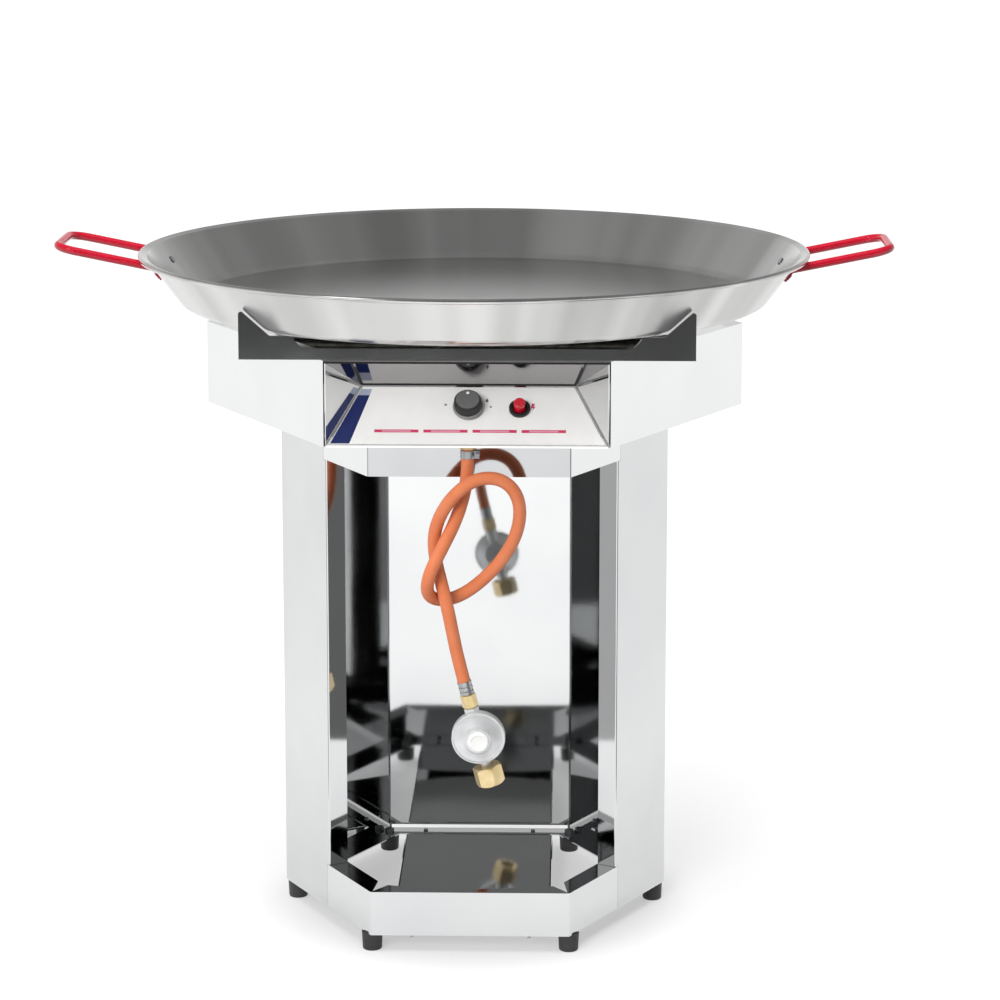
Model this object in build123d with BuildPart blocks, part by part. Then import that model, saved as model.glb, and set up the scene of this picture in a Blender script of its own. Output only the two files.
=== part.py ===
from build123d import *
from math import asin, cos, degrees, hypot, pi, radians, sin, sqrt, tan
import os

os.makedirs("parts", exist_ok=True)

# Gas barbecue: a hexagonal bottle cabinet carries a wider hexagonal burner box,
# and a round pan stands on two plates above the flames.
# The origin is on the floor under the middle of the pan, and the front faces -Y.

# Folded sheet and fits
sheet = 1.2
bend = 2.6
slip = 0.05
seam = 0.3

# Bottle cabinet
foot_height = 22.0
foot_radius = 12.5
foot_taper = 1.0
foot_round = 2.5
foot_inset = 15.0
foot_angle = 58.0
bolt_radius = 3.0
bolt_depth = 15.0
bolt_across = 10.0
bolt_head = 4.0
base_side = 236.0
base_height = 605.0
ring_width = 25.0
ring_thick = 1.5
strip_gap = 112.0
band_step = 5.0
lap = 20.0
flange = 26.0
hem = 14.0
hem_end = 19.4
relief_gap = 4.0
relief_run = 32.0
lower_band = 52.1
upper_band = 49.7
tab = 18.0
back_gap = 5.0
rivet_radius = 2.0
rivet_end = 45.0
shelf_side = 22.0
shelf_gap = 6.4
shelf_thick = 1.5
shelf_lip = 9.0
shelf_bend = 3.6
shelf_screw_x = 70.0
shelf_step = 3.0
shelf_screw_head = 2.8

# Burner box
house_side = 325.0
house_height = 99.5
top_flange = 30.0
recess_depth = 64.0
panel_rise = 2.0
apex_rise = 60.0
lip = 3.3
cheek_step = 3.0
overlay_thick = 0.3
overlay_edge = 2.4
skirt_drop = 15.0
tail_gap = 20.0
vent_circle = 150.0
vent_length = 60.0
vent_width = 10.0

# Controls, measured along and out from the sloping panel
knob_rise = 52.4
knob_radius = 17.4
knob_gap = 3.8
knob_skirt = 2.2
knob_edge = 2.0
knob_height = 19.5
knob_roof = 9.0
knob_clear = 2.0
pointer_radius = 1.75
pointer_reach = 8.7
pointer_inlay = 0.6
pointer_proud = 0.2
igniter_pitch = 59.0
igniter_radius = 12.25
igniter_rim = 5.0
igniter_chamfer = 1.2
igniter_depth = 26.0
igniter_well = 16.0
igniter_across = 24.0
igniter_nut_thick = 4.0
barrel_radius = 9.0
button_radius = 6.8
button_gap = 0.4
button_collar = 1.0
button_foot = 4.0
button_top = 15.0
tap_radius = 13.0
tap_wall = 3.0
neck_radius = 7.0
neck_rise = 4.0
tap_nut_rim = 2.5
tap_nut_thick = 3.0
port_depth = 20.0
port_root = 10.0
outlet_end = 22.0
inlet_end = 20.0
socket_depth = 6.0
spindle_radius = 4.0
spindle_top = 16.0
push_room = 4.0
plunger_radius = 2.5
plunger_gap = 0.4
plunger_reach = 7.0
plunger_room = 4.0

# Burner, with its heights above the tray
arm_rise = 68.3
tube_rise = 44.3
leg_height = 22.3
leg_circle = 28.0
leg_radius = 6.0
hub_radius = 42.0
hub_height = 60.0
hub_wall = 4.0
hub_round = 3.0
arm_radius = 10.0
arm_reach = 235.0
arm_wall = 1.2
port_end = 11.0
port_count = 13
port_radius = 1.3
mixer_radius = 17.0
mixer_wall = 2.0
mixer_length = 140.0
mixer_flare = 6.0
flare_length = 14.0
injector_gap = 8.0
injector_radius = 5.0
injector_across = 14.0
injector_head = 7.0
injector_nose = 12.0
injector_taper = 4.0
jet_radius = 0.8
holder_half = 16.0
holder_rise = 18.0
pipe_radius = 3.0
pipe_wall = 0.8
pipe_bend = 9.0
probe_x = 74.0
probe_y = -84.3
probe_rise = 15.3
probe_radius = 3.5
electrode_body = 41.0
electrode_tip = 16.0
electrode_wire = 1.0
thermocouple_length = 55.0
bracket_rise = 10.0
bracket_tongue = 8.0
bracket_reach = 14.0
bracket_toe = 12.0
lead_radius = 1.5
lead_level = 6.3
lead_bend = 4.0
capillary_radius = 1.2
capillary_level = 4.5
capillary_bend = 3.0

# Pan and the plates under it
plate_thick = 3.0
plate_setback = 8.96
bar_rise = 13.0
land_rise = 27.2
land_width = 24.0
land_slope = 12.0
land_round = 7.0
ear_rise = 27.4
ear_width = 4.204
ear_round = 3.0
ear_gap = 1.2
plate_flange = 17.5
flange_end = 120.0
screw_x = 110.0
screw_inset = 9.5
screw_radius = 2.5
screw_head = 4.5
screw_dome = 3.0
screw_length = 10.0
screw_nut = 8.0
screw_nut_thick = 4.0
pan_sheet = 1.5
pan_wall_radius = 394.0
wall_run = 43.0
wall_height = 58.1
pan_knuckle = 20.0
brim = 7.0
bead_radius = 3.0
bead_rise = 0.4
bead_tuck = 1.6
rod_radius = 5.0
lug_rise = 41.5
lug_reach = 62.0
lug_thick = 2.5
lug_width = 12.0
lug_length = 22.0
lug_round = 4.0
rivet_drop = 4.0
rivet_head = 1.0
root_rise = 4.0
tip_reach = 96.0
tip_rise = 29.0
tip_bend = 24.0

# Hose, with its route from its top end
hose_radius = 7.5
hose_bore = 4.5
hose_setback = 31.458
hose_drop = 7.0
knot = [
    (0, 0, 0), (0, 0, -25.5), (-4, 0, -53.5), (-14, -12, -83.5), (-30.5, -30, -113.5),
    (-44, -37, -140.5), (-47, -23, -165.5), (-34, -2, -178.5), (-11, 9, -176.5), (15, 10, -158.5),
    (40, 4, -130.5), (57, -6, -97.5), (61, -15, -64.5), (52, -21, -40.5), (33, -24, -28.5),
    (8, -26, -30.5), (-15, -25, -48.5), (-32, -19, -74.5), (-39.5, -10, -102.5), (-37, -7, -129.5),
    (-30, -16, -154.5), (-23, -24, -180.5), (-17.5, -20, -210.5), (-11.5, -15, -242.5), (-4.5, -13, -270.5),
]
tail_across = 17.0
tail_hex = 5.0
tail_radius = 5.5
tail_bend = 7.5
barb_length = 13.5
clamp_drop = 11.0
clamp_width = 9.0
clamp_band = 1.1
worm_radius = 2.6
worm_length = 13.0

# Regulator, measured along the hose's last run
ferrule_radius = 8.1
ferrule_length = 16.0
ferrule_crimp = 0.7
union_across = 16.0
union_hex = 12.0
union_neck = 5.0
union_radius = 7.0
dish_centre = 68.0
dish_radius = 31.0
dish_rim = 8.0
dish_lip = 6.0
dish_back = 9.0
dish_hub = 16.0
cover_band = 3.0
cap_seat = 22.0
cap_radius = 12.4
cap_thick = 4.6
cap_edge = 1.3
channel_radius = 8.5
channel_length = 68.0
stem_radius = 6.0
stem_length = 11.0
collar_thick = 3.0
collar_gap = 1.4
seal_thick = 3.0
seal_gap = 1.9
seal_bore = 4.0
nut_across = 30.0
nut_cover = 6.0
nut_length = 22.5
nut_bore = 10.9
nut_relief = 0.6
nut_chamfer = 2.2
nut_turn = 40.0
spin_gap = 0.4

# Lengths that follow from the ones above
half_root = sqrt(3) / 2
base_apothem = base_side * half_root
house_apothem = house_side * half_root
front = -house_apothem
wall_foot = foot_height + ring_thick
foot_circle = base_side - foot_inset
foot_x = foot_circle * cos(radians(foot_angle))
foot_y = foot_circle * sin(radians(foot_angle))
foot_spots = [(foot_circle, 0), (-foot_circle, 0)]
foot_spots += [(foot_x, foot_y), (-foot_x, foot_y), (foot_x, -foot_y), (-foot_x, -foot_y)]
base_top = wall_foot + base_height
lower_band_top = wall_foot + lower_band
upper_band_foot = base_top - upper_band
band_reach = strip_gap + band_step
rivet_across = base_side - tab
rivet_pitch = base_height / 2 - rivet_end
shelf_half = base_side / 2 - shelf_side
shelf_depth = base_apothem - shelf_gap
tray_top = base_top + sheet
house_top = base_top + house_height
panel_foot = base_top + panel_rise
recess_apex = base_top + apex_rise
recess_top = house_top - lip
tap_nut_half = neck_radius + tap_nut_rim
knob_cavity = tap_nut_half / half_root + knob_clear
spindle_foot = port_depth - push_room
plunger_foot = port_depth + plunger_reach
plunger_end = plunger_foot + plunger_room
tap_depth = plunger_end + tap_wall
arm_height = tray_top + arm_rise
tube_height = tray_top + tube_rise
hub_foot = tray_top + leg_height
hub_top = hub_foot + hub_height
probe_foot = tray_top + probe_rise
mixer_mouth = -hub_radius - mixer_length
injector_back = mixer_mouth - injector_gap
plate_back = house_apothem - plate_setback
screw_y = plate_back - screw_inset
bar_top = house_top + bar_rise
shelf_top = house_top + land_rise
ear_top = shelf_top + ear_rise
pan_foot = shelf_top + seam
pan_wall_top = pan_foot + wall_height
pan_foot_radius = pan_wall_radius - wall_run
bead_circle = pan_wall_radius + brim
bead_height = pan_wall_top + bead_rise
lug_height = pan_foot + lug_rise
tip_height = lug_height + tip_rise
tip_x = bead_circle + tip_reach
hose_top = Vector(0, front + hose_setback, base_top - hose_drop)
route = [hose_top + Vector(*point) for point in knot]
tail_foot = hose_top.Z - barb_length
union_end = ferrule_length + union_hex + union_neck
channel_end = union_end + channel_length
collar_start = channel_end + stem_length
collar_end = collar_start + collar_thick
seal_end = collar_end + seal_thick
nut_start = collar_start - nut_cover
nut_end = nut_start + nut_length
upright = (Align.CENTER, Align.CENTER, Align.MIN)


def corner(side, number):
    # corner of a hexagon with flats to the front and back, counted from +X
    return Vector(side * cos(radians(60 * number)), side * sin(radians(60 * number)))


def towards(start, goal, length):
    return start + (goal - start).normalized() * length


def inset_side(side, gap):
    # side of the hexagon that lies inside another by the gap
    return side - gap / half_root


def plan(points):
    return [(p.X, p.Y) for p in points]


def side_step(path, gap):
    # the path moved to its right by the gap, with mitred corners
    normals = []
    for a, b in zip(path, path[1:]):
        run = hypot(b[0] - a[0], b[1] - a[1])
        normals.append(((b[1] - a[1]) / run, (a[0] - b[0]) / run))
    moved = []
    for i, point in enumerate(path):
        first = normals[max(i - 1, 0)]
        second = normals[min(i, len(normals) - 1)]
        share = gap / (1 + first[0] * second[0] + first[1] * second[1])
        moved.append((point[0] + (first[0] + second[0]) * share, point[1] + (first[1] + second[1]) * share))
    return moved


def folded(path, thickness):
    # outline of a folded sheet whose thickness lies to the right of its path
    return path + side_step(path, thickness)[::-1]


def standing(vertices, points):
    # those vertices of a sketch that stand at the given points
    return [v for v in vertices if min(hypot(v.X - p[0], v.Y - p[1]) for p in points) < 0.01]


def arc_radii(points):
    # the largest arc that two runs leave room for, at each inner point of a route
    radii = []
    for a, b, c in zip(points, points[1:], points[2:]):
        first = Vector(b) - Vector(a)
        second = Vector(c) - Vector(b)
        turn = radians(first.get_angle(second))
        radii.append(0.45 * min(first.length, second.length) / tan(turn / 2))
    return radii


# Bottom ring of the cabinet, which the panels stand on and the feet screw into
with BuildPart() as base_ring:
    with BuildSketch(Plane.XY.offset(foot_height)):
        RegularPolygon(base_side, 6)
        RegularPolygon(inset_side(base_side, ring_width), 6, mode=Mode.SUBTRACT)
        with Locations(*foot_spots):
            Circle(bolt_radius + slip, mode=Mode.SUBTRACT)
        with GridLocations(2 * shelf_screw_x, 2 * base_apothem - ring_width, 2, 2):
            Circle(rivet_radius + slip, mode=Mode.SUBTRACT)
    extrude(amount=ring_thick)
base_ring.part.label = "base_ring"
export_step(base_ring.part, "parts/base_ring.step")

with BuildPart() as feet:
    with Locations(*foot_spots):
        Cone(foot_radius - foot_taper, foot_radius, foot_height, align=upright)
    fillet(feet.edges().group_by(Axis.Z)[0], foot_round)
    with BuildSketch(Plane.XY.offset(foot_height)):
        with Locations(*foot_spots):
            Circle(bolt_radius + slip)
    extrude(amount=-bolt_depth, mode=Mode.SUBTRACT)
feet.part.label = "feet"
export_step(feet.part, "parts/feet.step")

with BuildPart() as foot_bolts:
    with BuildSketch(Plane.XY.offset(wall_foot)):
        with Locations(*foot_spots):
            RegularPolygon(bolt_across / 2, 6, major_radius=False)
    extrude(amount=bolt_head)
    with BuildSketch(Plane.XY.offset(wall_foot)):
        with Locations(*foot_spots):
            Circle(bolt_radius)
    extrude(amount=-bolt_depth)
foot_bolts.part.label = "foot_bolts"
export_step(foot_bolts.part, "parts/foot_bolts.step")

# Side panels: the back half of a slanted front face with its return flange, a whole rear face,
# and a tab round the rear corner
front_left = corner(base_side, 4)
front_right = corner(base_side, 5)
left = corner(base_side, 3)
right = corner(base_side, 0)
rear_left = corner(base_side, 2)
rear_right = corner(base_side, 1)
left_inward = Vector(half_root, 0.5)
strip_end = towards(front_left, left, strip_gap)
left_path = plan([
    strip_end + left_inward * ring_width, strip_end, left, rear_left, towards(rear_left, rear_right, tab),
])
near_seam = towards(front_left, left, band_reach + seam)
far_seam = towards(front_left, left, strip_gap - lap)
notch = [near_seam - left_inward * lap, near_seam + left_inward * 2 * flange]
notch += [far_seam + left_inward * 2 * flange, far_seam - left_inward * lap]
rear_plane = Plane(origin=(0, base_apothem, wall_foot + base_height / 2), x_dir=(-1, 0, 0), z_dir=(0, 1, 0))

with BuildPart() as base_left_panel:
    with BuildSketch(Plane.XY.offset(wall_foot)) as left_plan:
        with BuildLine():
            Polyline(*folded(left_path, sheet), close=True)
        make_face()
        fillet(standing(left_plan.vertices(), left_path[1:4]), bend)
        fillet(standing(left_plan.vertices(), side_step(left_path, sheet)[1:4]), bend - sheet)
    extrude(amount=base_top - wall_foot)
    with BuildSketch(Plane.XY.offset(wall_foot)):
        with BuildLine():
            Polyline(*plan(notch), close=True)
        make_face()
    extrude(amount=lower_band_top + seam - wall_foot, mode=Mode.SUBTRACT)
    with BuildSketch(Plane.XY.offset(upper_band_foot - seam)):
        with BuildLine():
            Polyline(*plan(notch), close=True)
        make_face()
    extrude(amount=base_top - upper_band_foot + seam, mode=Mode.SUBTRACT)
    with BuildSketch(rear_plane):
        with GridLocations(rivet_across, rivet_pitch, 2, 3):
            Circle(rivet_radius + slip)
    extrude(amount=-2 * sheet, mode=Mode.SUBTRACT)
    with Locations((0, base_apothem, wall_foot)):
        Box(base_side - 2 * bend, 4 * sheet, 2 * back_gap, mode=Mode.SUBTRACT)
base_left_panel.part.label = "base_left_panel"
export_step(base_left_panel.part, "parts/base_left_panel.step")

with BuildPart() as base_right_panel:
    mirror(base_left_panel.part, about=Plane.YZ)
base_right_panel.part.label = "base_right_panel"
export_step(base_right_panel.part, "parts/base_right_panel.step")

# Back panel: a flat sheet inside the tabs, with an air gap left under it
nested_side = inset_side(base_side, sheet)
with BuildPart() as base_back_panel:
    with BuildSketch(rear_plane.offset(-sheet)):
        with Locations((0, back_gap / 2)):
            Rectangle(nested_side - 2 * (bend - sheet), base_height - back_gap)
        with GridLocations(rivet_across, rivet_pitch, 2, 3):
            Circle(rivet_radius + slip, mode=Mode.SUBTRACT)
    extrude(amount=-sheet)
base_back_panel.part.label = "base_back_panel"
export_step(base_back_panel.part, "parts/base_back_panel.step")

# Rivets through a tab and the back panel, closed flush inside
with BuildPart() as panel_rivets:
    with BuildSketch(rear_plane):
        with GridLocations(rivet_across, rivet_pitch, 2, 3):
            Circle(2 * rivet_radius)
    extrude(amount=sheet)
    with BuildSketch(rear_plane):
        with GridLocations(rivet_across, rivet_pitch, 2, 3):
            Circle(rivet_radius)
    extrude(amount=-2 * sheet)
panel_rivets.part.label = "panel_rivets"
export_step(panel_rivets.part, "parts/panel_rivets.step")

# Front bands above and below the bottle opening, each with a flange turned in
# and a tab behind the side panel at each end; the lower flange is relieved at its
# corners and dips to a hem across the front, where the bottle goes in
band_path = plan([
    towards(front_right, right, band_reach), front_right,
    front_left, towards(front_left, left, band_reach),
])
nested_front_left = corner(nested_side, 4)
nested_front_right = corner(nested_side, 5)
nested_far_left = corner(nested_side, 3)
nested_far_right = corner(nested_side, 0)
left_lap = plan([
    towards(nested_front_left, nested_far_left, band_reach - lap),
    towards(nested_front_left, nested_far_left, band_reach + lap),
])
right_lap = plan([
    towards(nested_front_right, nested_far_right, band_reach + lap),
    towards(nested_front_right, nested_far_right, band_reach - lap),
])
left_apex = towards(front_left, Vector(0, 0), relief_gap)
left_relief = plan([
    left_apex, towards(left_apex, front_left + Vector(hem_end, flange), 2 * flange),
    towards(left_apex, towards(front_left, left, relief_run) + left_inward * flange, 2 * flange),
])
right_relief = [(-x, y) for x, y in left_relief]
dip_half = base_side / 2 - hem_end
dip_end = flange - base_apothem
with BuildPart() as lower_front_band:
    with BuildSketch(Plane.XY.offset(wall_foot)) as lower_plan:
        with BuildLine():
            Polyline(*folded(band_path, sheet), close=True)
        make_face()
        fillet(standing(lower_plan.vertices(), band_path[1:3]), bend)
        fillet(standing(lower_plan.vertices(), side_step(band_path, sheet)[1:3]), bend - sheet)
    extrude(amount=lower_band_top - wall_foot)
    with BuildSketch(Plane.XY.offset(lower_band_top - sheet)) as lower_flange:
        with BuildLine():
            Polyline(*folded(band_path, flange), close=True)
        make_face()
        fillet(standing(lower_flange.vertices(), band_path[1:3]), bend)
        with BuildLine():
            ThreePointArc((-dip_half, dip_end), (0, hem - base_apothem), (dip_half, dip_end))
            Polyline(
                (dip_half, dip_end), (dip_half, dip_end + lap),
                (-dip_half, dip_end + lap), (-dip_half, dip_end),
            )
        make_face(mode=Mode.SUBTRACT)
        for relief in (left_relief, right_relief):
            with BuildLine():
                Polyline(*relief, close=True)
            make_face(mode=Mode.SUBTRACT)
    extrude(amount=sheet)
    for lap_path in (left_lap, right_lap):
        with BuildSketch(Plane.XY.offset(wall_foot + sheet)):
            with BuildLine():
                Polyline(*folded(lap_path, sheet), close=True)
            make_face()
        extrude(amount=lower_band_top - 3 * sheet - wall_foot)
lower_front_band.part.label = "lower_front_band"
export_step(lower_front_band.part, "parts/lower_front_band.step")

with BuildPart() as upper_front_band:
    with BuildSketch(Plane.XY.offset(upper_band_foot)) as upper_plan:
        with BuildLine():
            Polyline(*folded(band_path, sheet), close=True)
        make_face()
        fillet(standing(upper_plan.vertices(), band_path[1:3]), bend)
        fillet(standing(upper_plan.vertices(), side_step(band_path, sheet)[1:3]), bend - sheet)
    extrude(amount=base_top - upper_band_foot)
    with BuildSketch(Plane.XY.offset(upper_band_foot)) as upper_flange:
        with BuildLine():
            Polyline(*folded(band_path, flange), close=True)
        make_face()
        fillet(standing(upper_flange.vertices(), band_path[1:3]), bend)
    extrude(amount=sheet)
    for lap_path in (left_lap, right_lap):
        with BuildSketch(Plane.XY.offset(upper_band_foot + 2 * sheet)):
            with BuildLine():
                Polyline(*folded(lap_path, sheet), close=True)
            make_face()
        extrude(amount=base_top - upper_band_foot - 3 * sheet)
upper_front_band.part.label = "upper_front_band"
export_step(upper_front_band.part, "parts/upper_front_band.step")

# Shelf for the gas bottle, level with the ring, with its sides bent down
# and its ends stepped down to be screwed under the ring
step_start = base_apothem - ring_width - shelf_step
shelf_run = [
    (-shelf_depth, foot_height), (-step_start - ring_thick, foot_height), (-step_start, wall_foot),
    (step_start, wall_foot), (step_start + ring_thick, foot_height), (shelf_depth, foot_height),
]
shelf_path = [
    (-shelf_half, foot_height - shelf_lip), (-shelf_half, wall_foot),
    (shelf_half, wall_foot), (shelf_half, foot_height - shelf_lip),
]
with BuildPart() as bottle_shelf:
    with BuildSketch(Plane.YZ):
        with BuildLine():
            Polyline(*folded(shelf_run, shelf_thick), close=True)
        make_face()
    extrude(amount=shelf_half - shelf_bend, both=True)
    with BuildSketch(Plane.XZ) as shelf_section:
        with BuildLine():
            Polyline(*folded(shelf_path, shelf_thick), close=True)
        make_face()
        fillet(standing(shelf_section.vertices(), shelf_path[1:3]), shelf_bend)
        inner_bends = side_step(shelf_path, shelf_thick)[1:3]
        fillet(standing(shelf_section.vertices(), inner_bends), shelf_bend - shelf_thick)
    extrude(amount=step_start, both=True)
    with GridLocations(2 * shelf_screw_x, 2 * base_apothem - ring_width, 2, 2):
        Cylinder(rivet_radius + slip, 2 * wall_foot, mode=Mode.SUBTRACT)
bottle_shelf.part.label = "bottle_shelf"
export_step(bottle_shelf.part, "parts/bottle_shelf.step")

with BuildPart() as shelf_screws:
    with BuildSketch(Plane.XY.offset(wall_foot)):
        with GridLocations(2 * shelf_screw_x, 2 * base_apothem - ring_width, 2, 2):
            Circle(shelf_screw_head)
    extrude(amount=rivet_radius)
    with BuildSketch(Plane.XY.offset(wall_foot)):
        with GridLocations(2 * shelf_screw_x, 2 * base_apothem - ring_width, 2, 2):
            Circle(rivet_radius)
    extrude(amount=-3 * ring_thick - 2 * shelf_thick)
shelf_screws.part.label = "shelf_screws"
export_step(shelf_screws.part, "parts/shelf_screws.step")

# Burner box: five walls with a flange turned in along the top, open at the front for the controls
house_left = corner(house_side, 4)
house_right = corner(house_side, 5)
with BuildPart() as housing_shell:
    with BuildSketch(Plane.XY.offset(base_top)) as wall_plan:
        RegularPolygon(house_side, 6)
        RegularPolygon(inset_side(house_side, sheet), 6, mode=Mode.SUBTRACT)
        outer_corners = plan([corner(house_side, k) for k in range(4)])
        inner_corners = plan([corner(inset_side(house_side, sheet), k) for k in range(4)])
        fillet(standing(wall_plan.vertices(), outer_corners), bend)
        fillet(standing(wall_plan.vertices(), inner_corners), bend - sheet)
    extrude(amount=house_top - base_top)
    with BuildSketch(Plane.XY.offset(house_top - sheet)) as rim_plan:
        RegularPolygon(house_side, 6)
        RegularPolygon(inset_side(house_side, top_flange), 6, mode=Mode.SUBTRACT)
        fillet(standing(rim_plan.vertices(), outer_corners), bend)
        with Locations((-screw_x, screw_y), (screw_x, screw_y)):
            Circle(screw_radius + slip, mode=Mode.SUBTRACT)
    extrude(amount=sheet)
    with BuildSketch(Plane.XY.offset(base_top)):
        with BuildLine():
            Polyline((0, 0), plan([house_left * 2])[0], plan([house_right * 2])[0], close=True)
        make_face()
    extrude(amount=house_top - base_top, mode=Mode.SUBTRACT)
housing_shell.part.label = "housing_shell"
export_step(housing_shell.part, "parts/housing_shell.step")

# Control fascia: one sheet folded into a sloping panel, a recess roof, a lip and a top flange
fascia_path = [
    (front, base_top), (front, panel_foot), (front + recess_depth, recess_apex),
    (front, recess_top), (front, house_top), (front + top_flange, house_top),
]
panel_up = Vector(0, recess_depth, recess_apex - panel_foot).normalized()
panel_out = Vector(0, -panel_up.Z, panel_up.Y)
knob_seat = Vector(0, front, panel_foot) + panel_up * knob_rise
igniter_seat = knob_seat + Vector(igniter_pitch, 0, 0)
tap_plane = Plane(origin=knob_seat, x_dir=(1, 0, 0), z_dir=panel_out)
tap_section = Plane(origin=knob_seat, x_dir=(1, 0, 0), z_dir=-panel_up)
tap_axis = Axis(knob_seat, panel_out)
igniter_plane = Plane(origin=igniter_seat, x_dir=(1, 0, 0), z_dir=panel_out)
igniter_section = Plane(origin=igniter_seat, x_dir=(1, 0, 0), z_dir=-panel_up)
igniter_axis = Axis(igniter_seat, panel_out)
mitre = 1 / (2 * half_root)
lip_half = house_side / 2 - 2 * slip
face_half = house_side / 2 - cheek_step
reach = 2 * recess_depth
with BuildPart() as control_fascia:
    with BuildSketch(Plane.YZ) as fascia_section:
        with BuildLine():
            Polyline(*folded(fascia_path, sheet), close=True)
        make_face()
        fillet(standing(fascia_section.vertices(), fascia_path[4:5]), sheet)
    extrude(amount=house_side, both=True)
    for foot, top, half in ((base_top, recess_top, face_half), (recess_top, house_top, lip_half)):
        with BuildSketch(Plane.XY.offset(foot)):
            with BuildLine():
                Polyline(
                    (half + mitre, front - 1), (half - reach * mitre, front + reach),
                    (2 * house_side, front + reach), (2 * house_side, front - 1), close=True,
                )
            make_face()
            mirror(about=Plane.YZ)
        extrude(amount=top - foot, mode=Mode.SUBTRACT)
    with Locations(tap_plane):
        Cylinder(neck_radius + slip, 10 * sheet, mode=Mode.SUBTRACT)
    with Locations(igniter_plane):
        Cylinder(barrel_radius + slip, 10 * sheet, mode=Mode.SUBTRACT)
    with Locations((-screw_x, -screw_y, house_top), (screw_x, -screw_y, house_top)):
        Cylinder(screw_radius + slip, 5 * sheet, mode=Mode.SUBTRACT)
control_fascia.part.label = "control_fascia"
export_step(control_fascia.part, "parts/control_fascia.step")

# Cheeks that close the recess at its ends
cheek_foot = Vector(face_half + seam, front, 0)
cheek_plane = Plane(origin=cheek_foot, x_dir=(-0.5, half_root, 0), z_dir=(half_root, 0.5, 0))
cheek_reach = recess_depth / half_root
with BuildPart() as recess_cheek_right:
    with BuildSketch(cheek_plane):
        with BuildLine():
            Polyline(
                (0, panel_foot - sheet), (cheek_reach, recess_apex), (0, recess_top - 2 * slip), close=True,
            )
        make_face()
    extrude(amount=sheet)
recess_cheek_right.part.label = "recess_cheek_right"
export_step(recess_cheek_right.part, "parts/recess_cheek_right.step")

with BuildPart() as recess_cheek_left:
    mirror(recess_cheek_right.part, about=Plane.YZ)
recess_cheek_left.part.label = "recess_cheek_left"
export_step(recess_cheek_left.part, "parts/recess_cheek_left.step")

# Printed foil on the sloping panel, open under the knob and the igniter
panel_length = hypot(recess_depth, recess_apex - panel_foot)
overlay_foot = overlay_edge - knob_rise
overlay_head = panel_length - overlay_edge - knob_rise
foot_half = face_half - overlay_edge - overlay_edge * panel_up.Y * mitre
head_half = face_half - overlay_edge - (panel_length - overlay_edge) * panel_up.Y * mitre
with BuildPart() as panel_overlay:
    with BuildSketch(tap_plane):
        with BuildLine():
            Polyline(
                (-foot_half, overlay_foot), (foot_half, overlay_foot),
                (head_half, overlay_head), (-head_half, overlay_head), close=True,
            )
        make_face()
        Circle(knob_cavity, mode=Mode.SUBTRACT)
        with Locations((igniter_pitch, 0)):
            Circle(barrel_radius + seam, mode=Mode.SUBTRACT)
    extrude(amount=overlay_thick)
panel_overlay.part.label = "panel_overlay"
export_step(panel_overlay.part, "parts/panel_overlay.step")

# Tray under the burner, with a skirt that drops into the cabinet
skirt_side = inset_side(base_side, 2 * sheet)
with BuildPart() as burner_tray:
    with BuildSketch(Plane.XY.offset(base_top)) as tray_plan:
        RegularPolygon(inset_side(house_side, sheet + slip), 6)
        fillet(tray_plan.vertices(), bend)
        with BuildLine():
            Polyline(
                (-tail_gap, hose_top.Y - tail_gap), (tail_gap, hose_top.Y - tail_gap),
                (tail_gap, hose_top.Y + tail_gap), (-tail_gap, hose_top.Y + tail_gap), close=True,
            )
        make_face(mode=Mode.SUBTRACT)
        with PolarLocations(vent_circle, 6):
            SlotOverall(vent_length, vent_width, mode=Mode.SUBTRACT)
    extrude(amount=sheet)
    with BuildSketch(Plane.XY.offset(base_top)) as skirt_plan:
        RegularPolygon(skirt_side, 6)
        fillet(skirt_plan.vertices(), bend)
        RegularPolygon(inset_side(skirt_side, sheet), 6, mode=Mode.SUBTRACT)
    extrude(amount=-skirt_drop)
burner_tray.part.label = "burner_tray"
export_step(burner_tray.part, "parts/burner_tray.step")

# Gas tap behind the panel: neck out through it, outlet up the slope, inlet down the slope
with BuildPart() as gas_tap:
    with BuildSketch(tap_section):
        with BuildLine():
            Polyline(
                (spindle_radius + slip, neck_rise), (neck_radius, neck_rise), (neck_radius, -sheet),
                (tap_radius, -sheet), (tap_radius, -tap_depth), (0, -tap_depth), (0, -plunger_end),
                (plunger_radius + slip, -plunger_end), (plunger_radius + slip, -port_depth),
                (spindle_radius + slip, -port_depth), close=True,
            )
        make_face()
    revolve(axis=tap_axis)
    port = tap_plane.from_local_coords(Vector(0, 0, -port_depth))
    with BuildSketch(Plane(origin=port + panel_up * port_root, x_dir=(1, 0, 0), z_dir=panel_up)):
        Circle(neck_radius)
    extrude(amount=outlet_end - port_root)
    with BuildSketch(Plane(origin=port + panel_up * outlet_end, x_dir=(1, 0, 0), z_dir=panel_up)):
        Circle(pipe_radius + slip)
    extrude(amount=-socket_depth, mode=Mode.SUBTRACT)
    with BuildSketch(Plane(origin=port - panel_up * port_root, x_dir=(1, 0, 0), z_dir=-panel_up)):
        Circle(neck_radius)
    extrude(amount=inlet_end - port_root)
gas_tap.part.label = "gas_tap"
export_step(gas_tap.part, "parts/gas_tap.step")

with BuildPart() as tap_nut:
    with BuildSketch(tap_plane):
        RegularPolygon(tap_nut_half, 6, major_radius=False)
        Circle(neck_radius + slip, mode=Mode.SUBTRACT)
    extrude(amount=tap_nut_thick)
tap_nut.part.label = "tap_nut"
export_step(tap_nut.part, "parts/tap_nut.step")

with BuildPart() as tap_plunger:
    with BuildSketch(tap_plane.offset(-plunger_foot)):
        Circle(plunger_radius)
    extrude(amount=plunger_foot - spindle_foot - plunger_gap)
tap_plunger.part.label = "tap_plunger"
export_step(tap_plunger.part, "parts/tap_plunger.step")

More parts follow.
